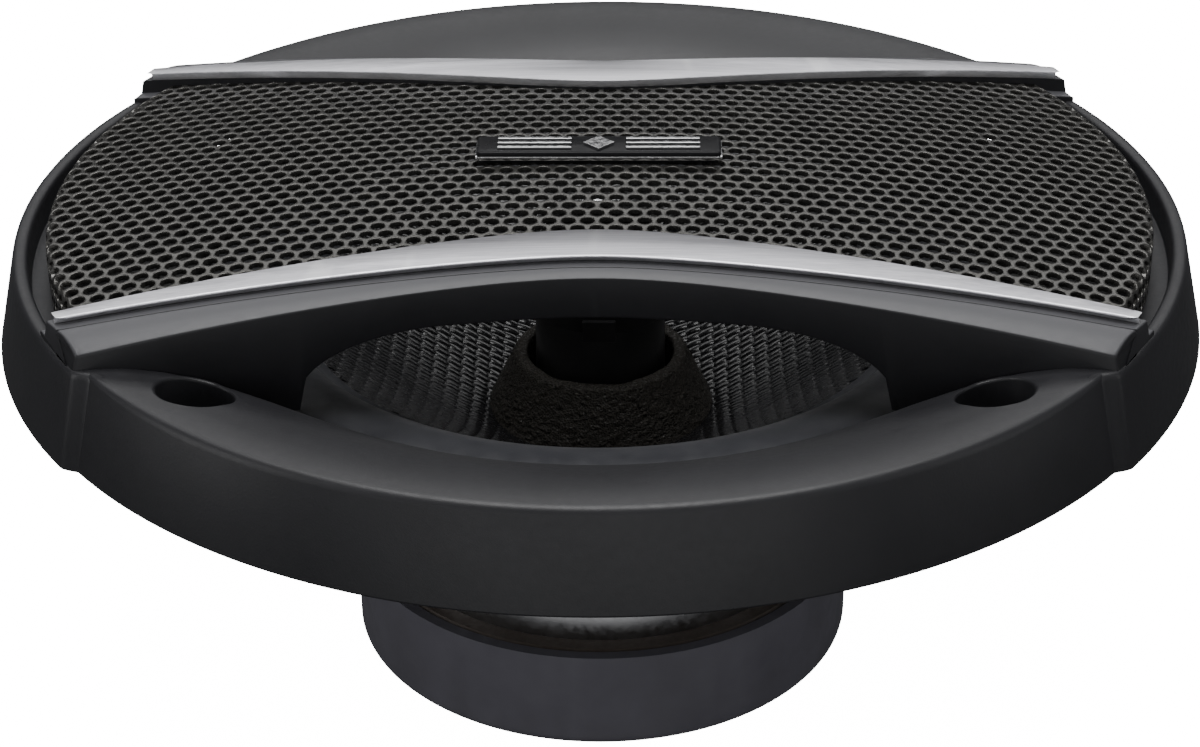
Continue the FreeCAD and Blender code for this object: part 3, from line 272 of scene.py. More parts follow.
class Finish:
    """A material's node tree, with short ways to add what its surface shows."""

    def __init__(self, name, colour, roughness, metallic=0.0, **sockets):
        self.material = bpy.data.materials.new(name)
        self.material.use_nodes = True
        self.tree = self.material.node_tree
        self.shader = self.tree.nodes["Principled BSDF"]
        self.colour = colour
        self.roughness = roughness
        self.shader.inputs["Base Color"].default_value = (*colour, 1)
        self.shader.inputs["Roughness"].default_value = roughness
        self.shader.inputs["Metallic"].default_value = metallic
        for label, value in sockets.items():
            self.shader.inputs[label.replace("_", " ")].default_value = value
        self.place = self.node("ShaderNodeTexCoord").outputs["Object"]

    def node(self, kind, **settings):
        made = self.tree.nodes.new(kind)
        for label, value in settings.items():
            setattr(made, label, value)
        return made

    def link(self, start, end):
        self.tree.links.new(start, end)

    def stretched(self, stretch):
        mapping = self.node("ShaderNodeMapping")
        mapping.inputs["Scale"].default_value = stretch
        self.link(self.place, mapping.inputs["Vector"])
        return mapping.outputs["Vector"]

    def noise(self, grain, detail=3.0, stretch=(1, 1, 1)):
        """Noise whose features are about grain millimetres across."""
        noise = self.node("ShaderNodeTexNoise")
        noise.inputs["Scale"].default_value = 1 / (grain * MM)
        noise.inputs["Detail"].default_value = detail
        self.link(self.stretched(stretch), noise.inputs["Vector"])
        return noise.outputs["Fac"]

    def cells(self, grain):
        cells = self.node("ShaderNodeTexVoronoi")
        cells.inputs["Scale"].default_value = 1 / (grain * MM)
        self.link(self.place, cells.inputs["Vector"])
        return cells.outputs["Distance"]

    def spread(self, value, start, end, first=0.3, last=0.7):
        """The value remapped from first..last to start..end."""
        ranged = self.node("ShaderNodeMapRange")
        for label, number in (("From Min", first), ("From Max", last), ("To Min", start), ("To Max", end)):
            ranged.inputs[label].default_value = number
        self.link(value, ranged.inputs["Value"])
        return ranged.outputs["Result"]

    def mix(self, share, first, second):
        mix = self.node("ShaderNodeMix", data_type="RGBA")
        self.link(share, mix.inputs["Factor"])
        for socket, colour in ((mix.inputs["A"], first), (mix.inputs["B"], second)):
            if isinstance(colour, tuple):
                socket.default_value = (*colour, 1)
            else:
                self.link(colour, socket)
        return mix.outputs["Result"]

    def tinted(self, share, light):
        """Colour that drifts from the finish's own towards a lighter one."""
        self.link(self.mix(share, self.colour, light), self.shader.inputs["Base Color"])

    def worn(self, worn_colour, start=0.53, end=0.62, share=0.5):
        """Lightens the edges that stand out, where hands rub them."""
        point = self.node("ShaderNodeNewGeometry").outputs["Pointiness"]
        amount = self.spread(point, 0.0, share, start, end)
        source = self.shader.inputs["Base Color"]
        base = source.links[0].from_socket if source.links else self.colour
        self.link(self.mix(amount, base, worn_colour), source)

    def uneven(self, value, swing):
        """Roughness that varies by swing either way."""
        result = self.spread(value, self.roughness - swing, self.roughness + swing)
        self.link(result, self.shader.inputs["Roughness"])

    def bumped(self, value, depth):
        """Bump of a depth in millimetres, added to any that is there."""
        bump = self.node("ShaderNodeBump")
        bump.inputs["Strength"].default_value = 1.0
        bump.inputs["Distance"].default_value = depth * MM
        self.link(value, bump.inputs["Height"])
        normal = self.shader.inputs["Normal"]
        if normal.links:
            self.link(normal.links[0].from_socket, bump.inputs["Normal"])
        self.link(bump.outputs["Normal"], normal)


def moulded(name, colour, roughness, grain, depth, worn=0.35, **sockets):
    """Moulded plastic, rubber or paint with a fine even grain."""
    finish = Finish(name, colour, roughness, **sockets)
    finish.tinted(finish.spread(finish.noise(9.0), 0.0, 1.0), tuple(c * 1.35 + 0.001 for c in colour))
    finish.worn(tuple(min(1.0, c * 2.2 + 0.01) for c in colour), share=worn)
    finish.uneven(finish.noise(3.0), 0.05)
    finish.bumped(finish.noise(grain, 2.0), depth)
    return finish.material


def metal(name, colour, roughness, depth=0.006):
    """Plated or bare metal with fine marks."""
    grain = 0.25
    finish = Finish(name, colour, roughness, metallic=1.0)
    finish.tinted(finish.spread(finish.noise(5.0), 0.0, 0.6), tuple(c * 0.7 for c in colour))
    finish.worn(tuple(min(1.0, c * 1.3 + 0.05) for c in colour), share=0.5)
    finish.uneven(finish.noise(grain * 3, 4.0), 0.08)
    finish.bumped(finish.noise(grain), depth)
    return finish.material


def fibrous(name, colour, roughness, pitch, depth, sheen=0.3):
    """Cloth: threads crossing at a pitch, with a loose fuzz over them."""
    finish = Finish(name, colour, roughness, Sheen_Weight=sheen)
    waves = []
    for direction in ("X", "Y"):
        wave = finish.node("ShaderNodeTexWave", bands_direction=direction)
        wave.inputs["Scale"].default_value = WAVE_REPEAT / (pitch * MM)
        wave.inputs["Distortion"].default_value = 0.6
        finish.link(finish.place, wave.inputs["Vector"])
        waves.append(wave.outputs["Fac"])
    weave = finish.node("ShaderNodeMath", operation="MULTIPLY")
    for wave, socket in zip(waves, weave.inputs):
        finish.link(wave, socket)
    finish.tinted(weave.outputs["Value"], tuple(c * 1.6 + 0.002 for c in colour))
    finish.uneven(finish.noise(2.0), 0.08)
    finish.bumped(weave.outputs["Value"], depth)
    finish.bumped(finish.noise(pitch * 0.5), depth * 0.4)
    return finish.material


def brushed_metal():
    """Aluminium strip brushed along X, with its fine streaks."""
    finish = Finish("brushed_trim", (0.90, 0.89, 0.93), 0.36, metallic=0.95, Anisotropic=0.6)
    streaks = finish.noise(0.22, 5.0, (0.012, 1, 1))
    broad = finish.noise(1.2, 3.0, (0.02, 1, 1))
    finish.tinted(finish.spread(streaks, 0.0, 1.0), (0.66, 0.66, 0.70))
    finish.worn((0.95, 0.95, 0.97), 0.52, 0.6, 0.7)
    finish.uneven(broad, 0.07)
    finish.bumped(streaks, 0.006)
    return finish.material


def bezel_plastic(name="bezel_plastic", painted_top_highlight=False):
    """Satin black moulding with a fine leather-like grain; optionally a painted highlight, a lighter grey,
    on faces that turn upwards.
    """
    finish = Finish(name, (0.017, 0.017, 0.0195), 0.43)
    finish.tinted(finish.spread(finish.noise(14.0), 0.0, 1.0), (0.022, 0.022, 0.025))
    finish.worn((0.05, 0.05, 0.055), 0.54, 0.66, 0.35)
    if painted_top_highlight:
        # Painted highlight: the more a face turns upwards, the more its colour is mixed towards a lighter
        # grey, standing in for the light it catches.
        facing = finish.node("ShaderNodeSeparateXYZ")
        finish.link(finish.node("ShaderNodeNewGeometry").outputs["Normal"], facing.inputs["Vector"])
        upward = finish.spread(facing.outputs["Z"], 0.0, 1.0, 0.55, 0.95)
        colour = finish.shader.inputs["Base Color"]
        finish.link(finish.mix(upward, colour.links[0].from_socket, (0.085, 0.085, 0.092)), colour)
    finish.uneven(finish.noise(1.1, 2.0), 0.035)
    finish.bumped(finish.noise(0.32, 2.0), 0.014)
    finish.bumped(finish.noise(0.8, 2.0), 0.006)
    return finish.material


def coated_steel():
    """The perforated sheet: dark grey semi-gloss coat on steel."""
    finish = Finish("mesh_steel", (0.090, 0.088, 0.084), 0.25, metallic=0.75)
    finish.tinted(finish.spread(finish.noise(7.0), 0.0, 1.0), (0.11, 0.107, 0.1))
    finish.worn((0.3, 0.29, 0.27), 0.56, 0.75, 0.4)
    finish.uneven(finish.noise(1.5), 0.05)
    finish.bumped(finish.noise(0.3, 3.0), 0.008)
    return finish.material


def cone_cloth():
    """Gloss-coated tapes of the cone's coarse weave, with thread marks along both ways."""
    finish = Finish("cone_cloth", (0.007, 0.007, 0.008), 0.24, Coat_Weight=0.3, Coat_Roughness=0.12)
    threads = finish.noise(0.16, 3.0, (1, 1, 0.2))
    finish.tinted(finish.spread(finish.noise(1.4), 0.0, 1.0), (0.018, 0.018, 0.020))
    finish.uneven(finish.noise(0.8), 0.06)
    finish.bumped(threads, 0.012)
    return finish.material


def cone_glue():
    """The grey coat that fills the gaps of the weave."""
    finish = Finish("cone_coat", (0.024, 0.024, 0.027), 0.5)
    finish.tinted(finish.spread(finish.noise(0.7), 0.0, 1.0), (0.045, 0.045, 0.050))
    finish.uneven(finish.noise(0.5), 0.12)
    finish.bumped(finish.noise(0.3), 0.04)
    return finish.material


def collar_felt():
    """Granular dark felt with the odd glossy grain."""
    finish = Finish("collar_felt", (0.014, 0.0125, 0.010), 0.72)
    grains = finish.cells(0.32)
    finish.tinted(finish.spread(grains, 0.0, 1.0, 0.2, 0.9), (0.045, 0.040, 0.033))
    finish.link(finish.spread(finish.noise(0.4), 0.3, 0.85, 0.35, 0.5), finish.shader.inputs["Roughness"])
    finish.bumped(grains, 0.16)
    finish.bumped(finish.noise(0.6, 4.0), 0.12)
    return finish.material


def surround_rubber():
    """Smooth rubber with the faint bloom that it gathers."""
    finish = Finish("surround_rubber", (0.020, 0.021, 0.026), 0.38, Sheen_Weight=0.15)
    finish.tinted(finish.spread(finish.noise(5.0, 4.0), 0.0, 1.0), (0.036, 0.037, 0.043))
    finish.uneven(finish.noise(2.0, 4.0), 0.07)
    finish.bumped(finish.noise(0.25, 2.0), 0.018)
    return finish.material


def ferrite():
    """Dull, slightly pitted ceramic magnet."""
    finish = Finish("ferrite", (0.105, 0.083, 0.070), 0.45, metallic=0.2)
    finish.tinted(finish.spread(finish.noise(1.2, 5.0), 0.0, 1.0), (0.09, 0.075, 0.062))
    finish.uneven(finish.noise(0.8, 4.0), 0.12)
    finish.bumped(finish.noise(0.5, 5.0), 0.05)
    return finish.material


def windings(name):
    """Enamelled wire wound in close turns."""
    finish = Finish(name, (0.45, 0.17, 0.06), 0.3, metallic=0.9)
    wave = finish.node("ShaderNodeTexWave", bands_direction="Z")
    wave.inputs["Scale"].default_value = WAVE_REPEAT / (WINDING_PITCH * MM)
    finish.link(finish.place, wave.inputs["Vector"])
    finish.tinted(wave.outputs["Fac"], (0.7, 0.33, 0.14))
    finish.uneven(finish.noise(1.0), 0.08)
    finish.bumped(wave.outputs["Fac"], 0.06)
    return finish.material


BLACK = (0.012, 0.012, 0.013)
FINISHES = {
    "bezel_plastic": bezel_plastic(),
    "mesh_steel": coated_steel(),
    "brushed_trim": brushed_metal(),
    "badge_black": moulded(
        "badge_black", (0.006, 0.006, 0.007), 0.3, 0.6, 0.004, Specular_IOR_Level=0.15,
    ),
    "badge_chrome": metal("badge_chrome", (0.86, 0.86, 0.87), 0.16, depth=0.003),
    "basket_paint": moulded("basket_paint", (0.014, 0.014, 0.015), 0.38, 0.7, 0.03),
    "rivet_steel": metal("rivet_steel", (0.55, 0.55, 0.54), 0.34),
    "gasket_foam": moulded("gasket_foam", (0.02, 0.02, 0.02), 0.85, 0.5, 0.15, 0.1),
    "surround_rubber": surround_rubber(),
    "spider_cloth": fibrous("spider_cloth", (0.42, 0.30, 0.12), 0.75, 0.5, 0.06),
    "plated_steel": metal("plated_steel", (0.4, 0.4, 0.41), 0.36),
    "ferrite": ferrite(),
    "boot_rubber": moulded("boot_rubber", (0.086, 0.084, 0.100), 0.5, 0.35, 0.015),
    "black_plastic": moulded("black_plastic", BLACK, 0.4, 0.4, 0.02),
    "neodymium": metal("neodymium", (0.6, 0.6, 0.58), 0.22),
    "bright_ring": metal("bright_ring", (0.85, 0.85, 0.87), 0.14, depth=0.003),
    "terminal_fibre": moulded("terminal_fibre", (0.07, 0.035, 0.02), 0.55, 0.6, 0.05),
    "terminal_brass": metal("terminal_brass", (0.78, 0.74, 0.62), 0.3),
    "capacitor_sleeve": moulded("capacitor_sleeve", (0.03, 0.03, 0.14), 0.25, 2.0, 0.02),
    "tinsel_braid": fibrous("tinsel_braid", (0.45, 0.25, 0.13), 0.4, 0.35, 0.06, 0.0),
    "red_wire": moulded("red_wire", (0.32, 0.012, 0.010), 0.34, 0.5, 0.01),
    "black_wire": moulded("black_wire", BLACK, 0.34, 0.5, 0.01),
    "cone_cloth": cone_cloth(),
    "collar_felt": collar_felt(),
    "former_film": moulded("former_film", (0.34, 0.17, 0.04), 0.25, 1.0, 0.004),
    "copper_winding": windings("copper_winding"),
    "dome_silk": fibrous("dome_silk", (0.03, 0.03, 0.034), 0.5, 0.22, 0.02),
}
CONE_COAT = cone_glue()
# The rails' plastic, with a painted highlight on its upward-facing faces.
RAIL_PLASTIC_PAINTED_HIGHLIGHT = bezel_plastic("rail_plastic_painted_highlight", painted_top_highlight=True)


# ---- Grille bezel ----
BRIDGE_HALF_ANGLE = 35.4
# Angles between which the side wall's outer strip sinks into the ring, and where the wall ends
STRIP_START, STRIP_END = 35.6, 37.8
SIDE_WALL_END = 38.4
LEDGE_GAP = 0.3
LEDGE_WIDTH = 2.0
GUESSED_RADIUS = 70.0
RAIL_SOFTNESS = 0.6


def wall_distance(angle):
    """Radius at which a line from the centre meets the bridge's front face."""
    radius = GUESSED_RADIUS
    for _ in range(30):
        radius = waisted(FACE, radius * math.cos(angle)) / math.sin(angle)
        radius = min(radius, RIM_RADIUS + PROUD)
    return radius


def ring_inside(angle):
    """Inner radius of the ring: the lip, running out along the foot of the bridge's face."""
    overlap, reach, least_width = 0.4, 22.0, 3.0
    wall = wall_distance(angle) - overlap
    closeness = max(reach - abs(wall - LIP_RADIUS), 0) / reach
    return min(max(wall, LIP_RADIUS) + closeness ** 2 * reach / 4, RIM_RADIUS - least_width)


def ring_section(inner):
    """Section of the moulded ring from its inner lip to its outer wall."""
    face = [(r, rim_face(r)) for r in np.linspace(inner, RIM_TOP_RADIUS - 0.9, 12)]
    under = [(r, z - WALL) for r, z in face[1:-1:2]]
    corners = [(inner, face[0][1] - WALL, 0.5), (*face[0], 0.9)] + face[1:-1]
    corners += [(RIM_TOP_RADIUS, RIM_HEIGHT, 1.3), (RIM_RADIUS, 0.0, 0.4), (RIM_RADIUS - WALL, 0.0, 0.4)]
    corners += [(RIM_TOP_RADIUS - WALL, RIM_HEIGHT - WALL * 1.2, 0.8)]
    return rounded(corners + under[::-1])


def rim_ring():
    """The front and rear segments of the ring."""
    angles = np.radians(np.linspace(-180 + BRIDGE_HALF_ANGLE, -BRIDGE_HALF_ANGLE, 150))
    rows = []
    for angle in angles:
        from_bridge = min(abs(angle), math.pi - abs(angle))
        section = ring_section(ring_inside(from_bridge))
        rows.append([(r * math.cos(angle), r * math.sin(angle), z) for r, z in section])
    shape = Shape(rows, wrap_columns=True, caps=True)
    shape.mirrored()
    return shape


def side_section(proud):
    """Section of the wall at a bridge's end, with the trench that the mesh dips into."""
    foot = RIM_RADIUS + proud
    crest = RIM_TOP_RADIUS + proud
    trench_outer, trench_inner = 84.0, 78.5
    trench_floor, trench_under = 9.8, 8.0
    toe_radius, toe_height = 83.3, 1.2
    return rounded([
        (foot, 0.0, 0.4), (crest + 0.1, RIM_HEIGHT, 1.7), (crest - 2.0, RIM_HEIGHT, 1.1),
        (trench_outer, trench_floor, 0.3), (trench_inner, trench_floor, 0.5),
        (trench_inner, trench_under), (trench_outer + 1.0, trench_under),
        (foot - WALL - 0.2, toe_height), (toe_radius, toe_height), (toe_radius, 0.0),
    ])


def side_walls():
    """The walls at both ends of the bridge, proud of the ring between its two joints."""
    shape = Shape()
    middle, sunk = 34.5, 0.15
    angles = np.concatenate([
        np.linspace(-SIDE_WALL_END, -STRIP_START, 14),
        np.linspace(-middle, middle, 70),
        np.linspace(STRIP_START, SIDE_WALL_END, 14),
    ])
    for side in (1, -1):
        rows = []
        for degrees in angles:
            share = eased((STRIP_END - abs(degrees)) / (STRIP_END - STRIP_START))
            section = side_section(PROUD * share - sunk * (1 - share))
            angle = math.radians(degrees)
            rows.append([(side * r * math.cos(angle), r * math.sin(angle), z) for r, z in section])
        shape.grid(rows, wrap_columns=True, caps=True)
    return shape


def arch_foot(x):
    """Height of the lower edge of the rail's front face: an arch over the opening."""
    half, flat = 40.5, 20.5
    drop, top, foot = 9.0, 15.6, 4.5
    beyond = max(abs(x) - flat, 0) / (half - flat)
    if beyond >= 1:
        return foot
    return top - drop + drop * math.sqrt(1 - beyond * beyond)


def rail_section(x):
    """Section of a rail as (distance from the middle, height): mesh ledge, seat, bevel, face."""
    inner, outer, face = (waisted(line, x) for line in (TRIM_INNER, TRIM_OUTER, FACE))
    seat = crown(x) - TRIM_THICKNESS
    ledge = mesh_top(x, inner) - MESH_SHEET - LEDGE_GAP
    ledge_edge = inner - LEDGE_WIDTH
    groove_floor = seat - 0.35
    edge = bevel_foot(x)
    bevel_start, bevel_top = outer + 1.45, seat + 0.05
    bevel_steps, bevel_curve = 9, 1.9
    bevel = []
    for step in range(bevel_steps):
        t = step / bevel_steps
        fall = (bevel_top - edge) * t ** bevel_curve
        bevel.append((bevel_start + (face - bevel_start) * t, bevel_top - fall))
    foot = min(arch_foot(x), edge - WALL - 0.4)
    return rounded([
        (ledge_edge, ledge, 0.2), (inner, ledge), (inner, seat), (outer, seat), (outer + 1.1, seat, 0.12),
        (outer + 1.15, groove_floor), (outer + 1.4, groove_floor), *bevel, (face, edge, 0.35),
        (face, foot, 0.4), (face - WALL, foot, 0.3), (face - WALL, edge - WALL),
        (inner + WALL, ledge - WALL), (ledge_edge, ledge - WALL * 0.6),
    ], 3)


def rail_end(index):
    """How far along X one line of the rail's section runs before it meets the drafted outer wall."""
    tuck, tuck_rise, tuck_length = 0.5, 1.5, 3
    x = GUESSED_RADIUS
    for _ in range(12):
        across, height = rail_section(x)[index]
        tucked = tuck * eased((RIM_HEIGHT + tuck_rise - height) / tuck_length)
        radius = RIM_RADIUS + PROUD - WALL_DRAFT * height - tucked
        x = math.sqrt(max(radius * radius - across * across, 1.0))
    return x


def outline_hand(section):
    """1 or -1: which way round the section's outline runs."""
    across, height = section[:, 1], section[:, 2]
    area = np.sum(across * np.roll(height, -1) - np.roll(across, -1) * height)
    return -1.0 if area > 0 else 1.0


def soft_end(section):
    """Ever smaller sections beyond the last one, which round off a rail's end."""
    ahead = np.roll(section[:, 1:], -1, axis=0) - np.roll(section[:, 1:], 1, axis=0)
    outward = np.stack([-ahead[:, 1], ahead[:, 0]], axis=1)
    outward /= np.linalg.norm(outward, axis=1, keepdims=True) + 1e-9
    side = math.copysign(1, section[0, 0])
    steps = []
    for turn in np.radians([30, 60, 90]):
        moved = section.copy()
        moved[:, 0] += side * RAIL_SOFTNESS * math.sin(turn)
        moved[:, 1:] -= outward * RAIL_SOFTNESS * 0.6 * (1 - math.cos(turn)) * outline_hand(section)
        steps.append(moved)
    return np.array(steps)


def rails():
    """The front and rear rails, softly rounded where they end in the drafted wall."""
    count = len(rail_section(0))
    ends = [rail_end(index) for index in range(count)]
    rows = []
    for share in np.linspace(-1, 1, 131):
        row = []
        for index in range(count):
            x = share * (ends[index] - RAIL_SOFTNESS)
            across, height = rail_section(x)[index]
            row.append((x, -across, height))
        rows.append(row)
    rows = np.array(rows)
    rows = np.concatenate([soft_end(rows[0])[::-1], rows, soft_end(rows[-1])])
    shape = Shape(rows, wrap_columns=True, caps=True)
    shape.mirrored()
    return shape


def screw_recess(shape, x, y):
    """A boss with a drilled floor, a straight wall and a rounded mouth that follows the ring's slope.

    The profile's corners are (radius, height, offset), where no height stands for the ring's face.
    """
    foot, chamfer, ease = 1.0, 0.2, 0.3
    profile = [
        (BOSS_RADIUS, None, -WALL), (BOSS_RADIUS, foot + chamfer, 0), (BOSS_RADIUS - ease, foot, 0),
        (SCREW_RADIUS + chamfer, foot, 0), (SCREW_RADIUS, foot + chamfer, 0),
        (SCREW_RADIUS, RECESS_FLOOR - chamfer, 0), (SCREW_RADIUS + chamfer, RECESS_FLOOR, 0),
        (RECESS_RADIUS - ease, RECESS_FLOOR, 0), (RECESS_RADIUS, RECESS_FLOOR + ease, 0),
    ]
    mouth = [
        (0, -0.55), (0.06, -0.28), (0.2, -0.1), (0.42, -0.01), (0.6, 0.004), (0.75, -0.05), (0.75, -0.6),
    ]
    profile += [(RECESS_RADIUS + out, None, offset) for out, offset in mouth]
    rows = []
    for angle in np.linspace(0, 2 * math.pi, 64, endpoint=False):
        row = []
        for radius, height, offset in profile:
            px = x + radius * math.cos(angle)
            py = y + radius * math.sin(angle)
            top = rim_face(math.hypot(px, py)) + offset
            row.append((px, py, top if height is None else height))
        rows.append(row)
    shape.grid(rows, wrap_rows=True, wrap_columns=True)


def cut_round_holes(item, spots, radius):
    """Cuts upright round holes right through a mesh object."""
    tool = Shape()
    bottom, top = -5, 30
    for x, y in spots:
        outline = [(0, bottom), (radius, bottom), (radius, top), (0, top)]
        rows = turned_rows(outline, 64) + np.array([x, y, 0])
        tool.grid(rows, wrap_rows=True)
    cutter = new_object("cutter", tool, FINISHES["bezel_plastic"])
    cut = item.modifiers.new("holes", "BOOLEAN")
    cut.operation = "DIFFERENCE"
    cut.object = cutter
    cut.solver = "EXACT"
    bpy.context.view_layer.update()
    graph = bpy.context.evaluated_depsgraph_get()
    mesh = bpy.data.meshes.new_from_object(item.evaluated_get(graph))
    item.modifiers.clear()
    item.data = mesh
    bpy.data.objects.remove(cutter)


def grille_bezel():
    """Ring, screw bosses, side walls and rails. The ring is cut a little wider than the recesses."""
    ring = new_object("bezel_ring", rim_ring(), FINISHES["bezel_plastic"])
    spots = [(sx * SCREW_SPOT, sy * SCREW_SPOT) for sx in (-1, 1) for sy in (-1, 1)]
    cut_round_holes(ring, spots, RECESS_RADIUS + 0.5)
    ring.data.set_sharp_from_angle(angle=math.radians(SHARP_ANGLE))
    placed(ring, "chassis", "bezel_plastic", "grille_bezel")
    bosses = Shape()
    for x, y in spots:
        screw_recess(bosses, x, y)
    piece("bezel_bosses", bosses, "chassis", "bezel_plastic")
    piece("bezel_side_walls", side_walls(), "chassis", "bezel_plastic")
    piece("bezel_rails", rails(), "chassis", "bezel_plastic", material=RAIL_PLASTIC_PAINTED_HIGHLIGHT)


# ---- Perforated mesh and trims ----
HOLE_PITCH = 2.70
HOLE_RADIUS = 1.025
BEND_RADIUS = 1.3
HOLE_SIDES = 12
TRIM_GAP = 0.1


def mesh_place(x, y, depth):
    """Where a point of the flat sheet goes once it is domed and its ends turned down."""
    flat = np.hypot(x, y)
    turn_start = MESH_RADIUS - BEND_RADIUS
    slope = turn_start / MESH_CROWN
    top = mesh_top(turn_start, 0)
    bend_length = BEND_RADIUS * (math.pi / 2 - slope)
    beyond = flat - turn_start
    angle = np.clip(beyond / BEND_RADIUS, 0, math.pi / 2 - slope) + slope
    radius = np.where(beyond <= 0, flat, turn_start + BEND_RADIUS * (np.sin(angle) - math.sin(slope)))
    height = np.where(beyond <= 0, mesh_top(flat, 0), top - BEND_RADIUS * (math.cos(slope) - np.cos(angle)))
    height = height - np.clip(beyond - bend_length, 0, None)
    height = np.maximum(height, MESH_BOTTOM)
    lean = np.where(beyond <= 0, flat / MESH_CROWN, angle)
    radius = np.minimum(radius, MESH_RADIUS) - depth * np.sin(lean)
    height = height - depth * np.cos(lean)
    bearing = np.arctan2(y, x)
    px, py = radius * np.cos(bearing), radius * np.sin(bearing)
    limit = waisted(TRIM_INNER, px) - TRIM_GAP
    py = np.clip(py, -limit, limit)
    return np.stack([px, py, height], axis=-1)


def hole_cell():
    """One cell of the sheet: rings of points from its six-sided border in to the hole and under."""
    turns = np.linspace(0, 2 * math.pi, HOLE_SIDES, endpoint=False)
    apothem = HOLE_PITCH / 2
    border = np.where(np.arange(HOLE_SIDES) % 2 == 0, apothem, apothem / math.cos(math.pi / 6))
    steps = [
        (border, 0.0), (HOLE_RADIUS + 0.1, 0.0), (HOLE_RADIUS + 0.03, 0.04), (HOLE_RADIUS, 0.12),
        (HOLE_RADIUS, MESH_SHEET), (border, MESH_SHEET),
    ]
    rings = [
        np.stack([radius * np.cos(turns), radius * np.sin(turns), np.full(HOLE_SIDES, depth)], axis=1)
        for radius, depth in steps
    ]
    faces = []
    for ring in range(len(steps) - 1):
        for side in range(HOLE_SIDES):
            beside = (side + 1) % HOLE_SIDES
            first, second = ring * HOLE_SIDES, (ring + 1) * HOLE_SIDES
            faces.append((first + side, first + beside, second + beside, second + side))
    return np.concatenate(rings), np.array(faces)


def grille_mesh():
    """The perforated sheet, cell by cell, bent into its dome, without the faces that fold away."""
    cell, cell_faces = hole_cell()
    row_pitch = HOLE_PITCH * math.cos(math.pi / 6)
    turned_down, under_trim, least_area = 6.6, 1.3, 0.0015
    rows_each_way, columns_each_way = 20, 34
    reach = MESH_RADIUS + turned_down
    points, faces = [], []
    for row in range(-rows_each_way, rows_each_way + 1):
        y = row * row_pitch
        shift = HOLE_PITCH / 2 if row % 2 else 0.0
        for column in range(-columns_each_way, columns_each_way + 1):
            x = column * HOLE_PITCH + shift
            if math.hypot(x, y) > reach or abs(y) > waisted(TRIM_INNER, x) + under_trim:
                continue
            spots = mesh_place(cell[:, 0] + x, cell[:, 1] + y, cell[:, 2])
            faces.append(cell_faces + len(points) * len(cell))
            points.append(spots)
    shape = Shape()
    spots = np.concatenate(points)
    quads = np.concatenate(faces)
    corners = spots[quads]
    normal = np.cross(corners[:, 2] - corners[:, 0], corners[:, 3] - corners[:, 1])
    area = np.linalg.norm(normal, axis=1) / 2
    shape.points = [tuple(point) for point in spots]
    shape.faces = [tuple(int(i) for i in quad) for quad in quads[area > least_area]]
    piece("grille_mesh_sheet", shape, "chassis", "mesh_steel", "grille_mesh", sharp_angle=60)


def trim_strip(name, side):
    """A brushed strip with eased edges and rounded ends, undercut along its outer edge."""
    glue, undercut, lip = 0.05, 0.9, 0.4
    end_gap, end_rounding, straight_share = 0.5, 1.3, 0.75

    def section(x):
        inner = waisted(TRIM_INNER, x) + 0.02
        outer = waisted(TRIM_OUTER, x)
        top = crown(x)
        foot = top - TRIM_THICKNESS + glue
        return rounded([
            (inner, foot), (outer - undercut, foot), (outer - undercut, top - lip),
            (outer, top - lip, 0.06), (outer, top - 0.16, 0.06), (outer - 0.2, top, 0.08),
            (inner, top, 0.2),
        ], 3)

    count = len(section(0))
    ends = []
    for index in range(count):
        x = 74.0
        for _ in range(10):
            across = section(x)[index][0]
            x = math.sqrt(TRIM_END ** 2 - across * across)
        inner, outer = waisted(TRIM_INNER, x), waisted(TRIM_OUTER, x)
        share = abs((across - inner) / (outer - inner) - 0.5) * 2
        beyond = max(share - straight_share, 0) / (1 - straight_share)
        ends.append(x - end_gap - end_rounding * beyond ** 2)
    rows = []
    for share in np.linspace(-1, 1, 121):
        rows.append([
            (share * ends[i], side * section(share * ends[i])[i][0], section(share * ends[i])[i][1])
            for i in range(count)
        ])
    shape = Shape(rows, wrap_columns=True, caps=True)
    piece(f"{name}_strip", shape, "chassis", "brushed_trim", name, sharp_angle=30)


def badge():
    """Gloss plate on a black base, with a bright band round its lower edge."""
    half_length = high("badge_plate", X)
    half_width = high("badge_plate", Y)
    bottom, top = low("badge_plate", Z), high("badge_plate", Z)

    def slab(levels):
        """A rounded slab through outlines at levels of (height, inset)."""
        corner_radius = 0.6
        rows = []
        for height, inset in levels:
            across, along = half_length - inset, half_width - inset
            outline = rounded([
                (sx * across, sy * along, corner_radius) for sx, sy in ((1, -1), (1, 1), (-1, 1), (-1, -1))
            ])
            rows.append([(x, y, height) for x, y in outline])
        return Shape(rows, wrap_columns=True, caps=True)

    plate = slab([
        (bottom, 0.5), (bottom + 0.6, 0.5), (bottom + 0.62, 0.25),
        (top - 0.35, 0.2), (top - 0.15, 0.28), (top - 0.04, 0.42), (top, 0.65),
    ])
    piece("badge_plate_gloss", plate, "chassis", "badge_black", "badge_plate")
    band = slab([
        (bottom + 0.55, 0.3), (bottom + 0.58, 0.08), (bottom + 0.75, 0.0),
        (bottom + 1.05, 0.04), (bottom + 1.15, 0.3),
    ])
    piece("badge_band", band, "chassis", "badge_chrome")


# ---- Cone, collar and surround ----
CONE_FOOT = low("cone", Z) + 0.5
CONE_NECK = 12.85
CONE_EDGE = 44.0
CONE_EDGE_TOP = high("cone", Z)
CONE_LIP = high("cone", X)
CONE_SLOPE = (CONE_EDGE_TOP - CONE_FOOT) / (CONE_EDGE - CONE_NECK)
COLUMN_PITCH = 2.07
ROW_PITCH = 1.2
TAPE_LIFT = 0.15
# Section of a tape as (share of its width, drop below its middle)
TAPE_SECTION = ((-0.5, 0.13), (-0.4, 0.02), (0, 0), (0.4, 0.02), (0.5, 0.13))


def cone_top(radius):
    """Height of the cone's face at a radius."""
    return CONE_FOOT + (radius - CONE_NECK) * CONE_SLOPE


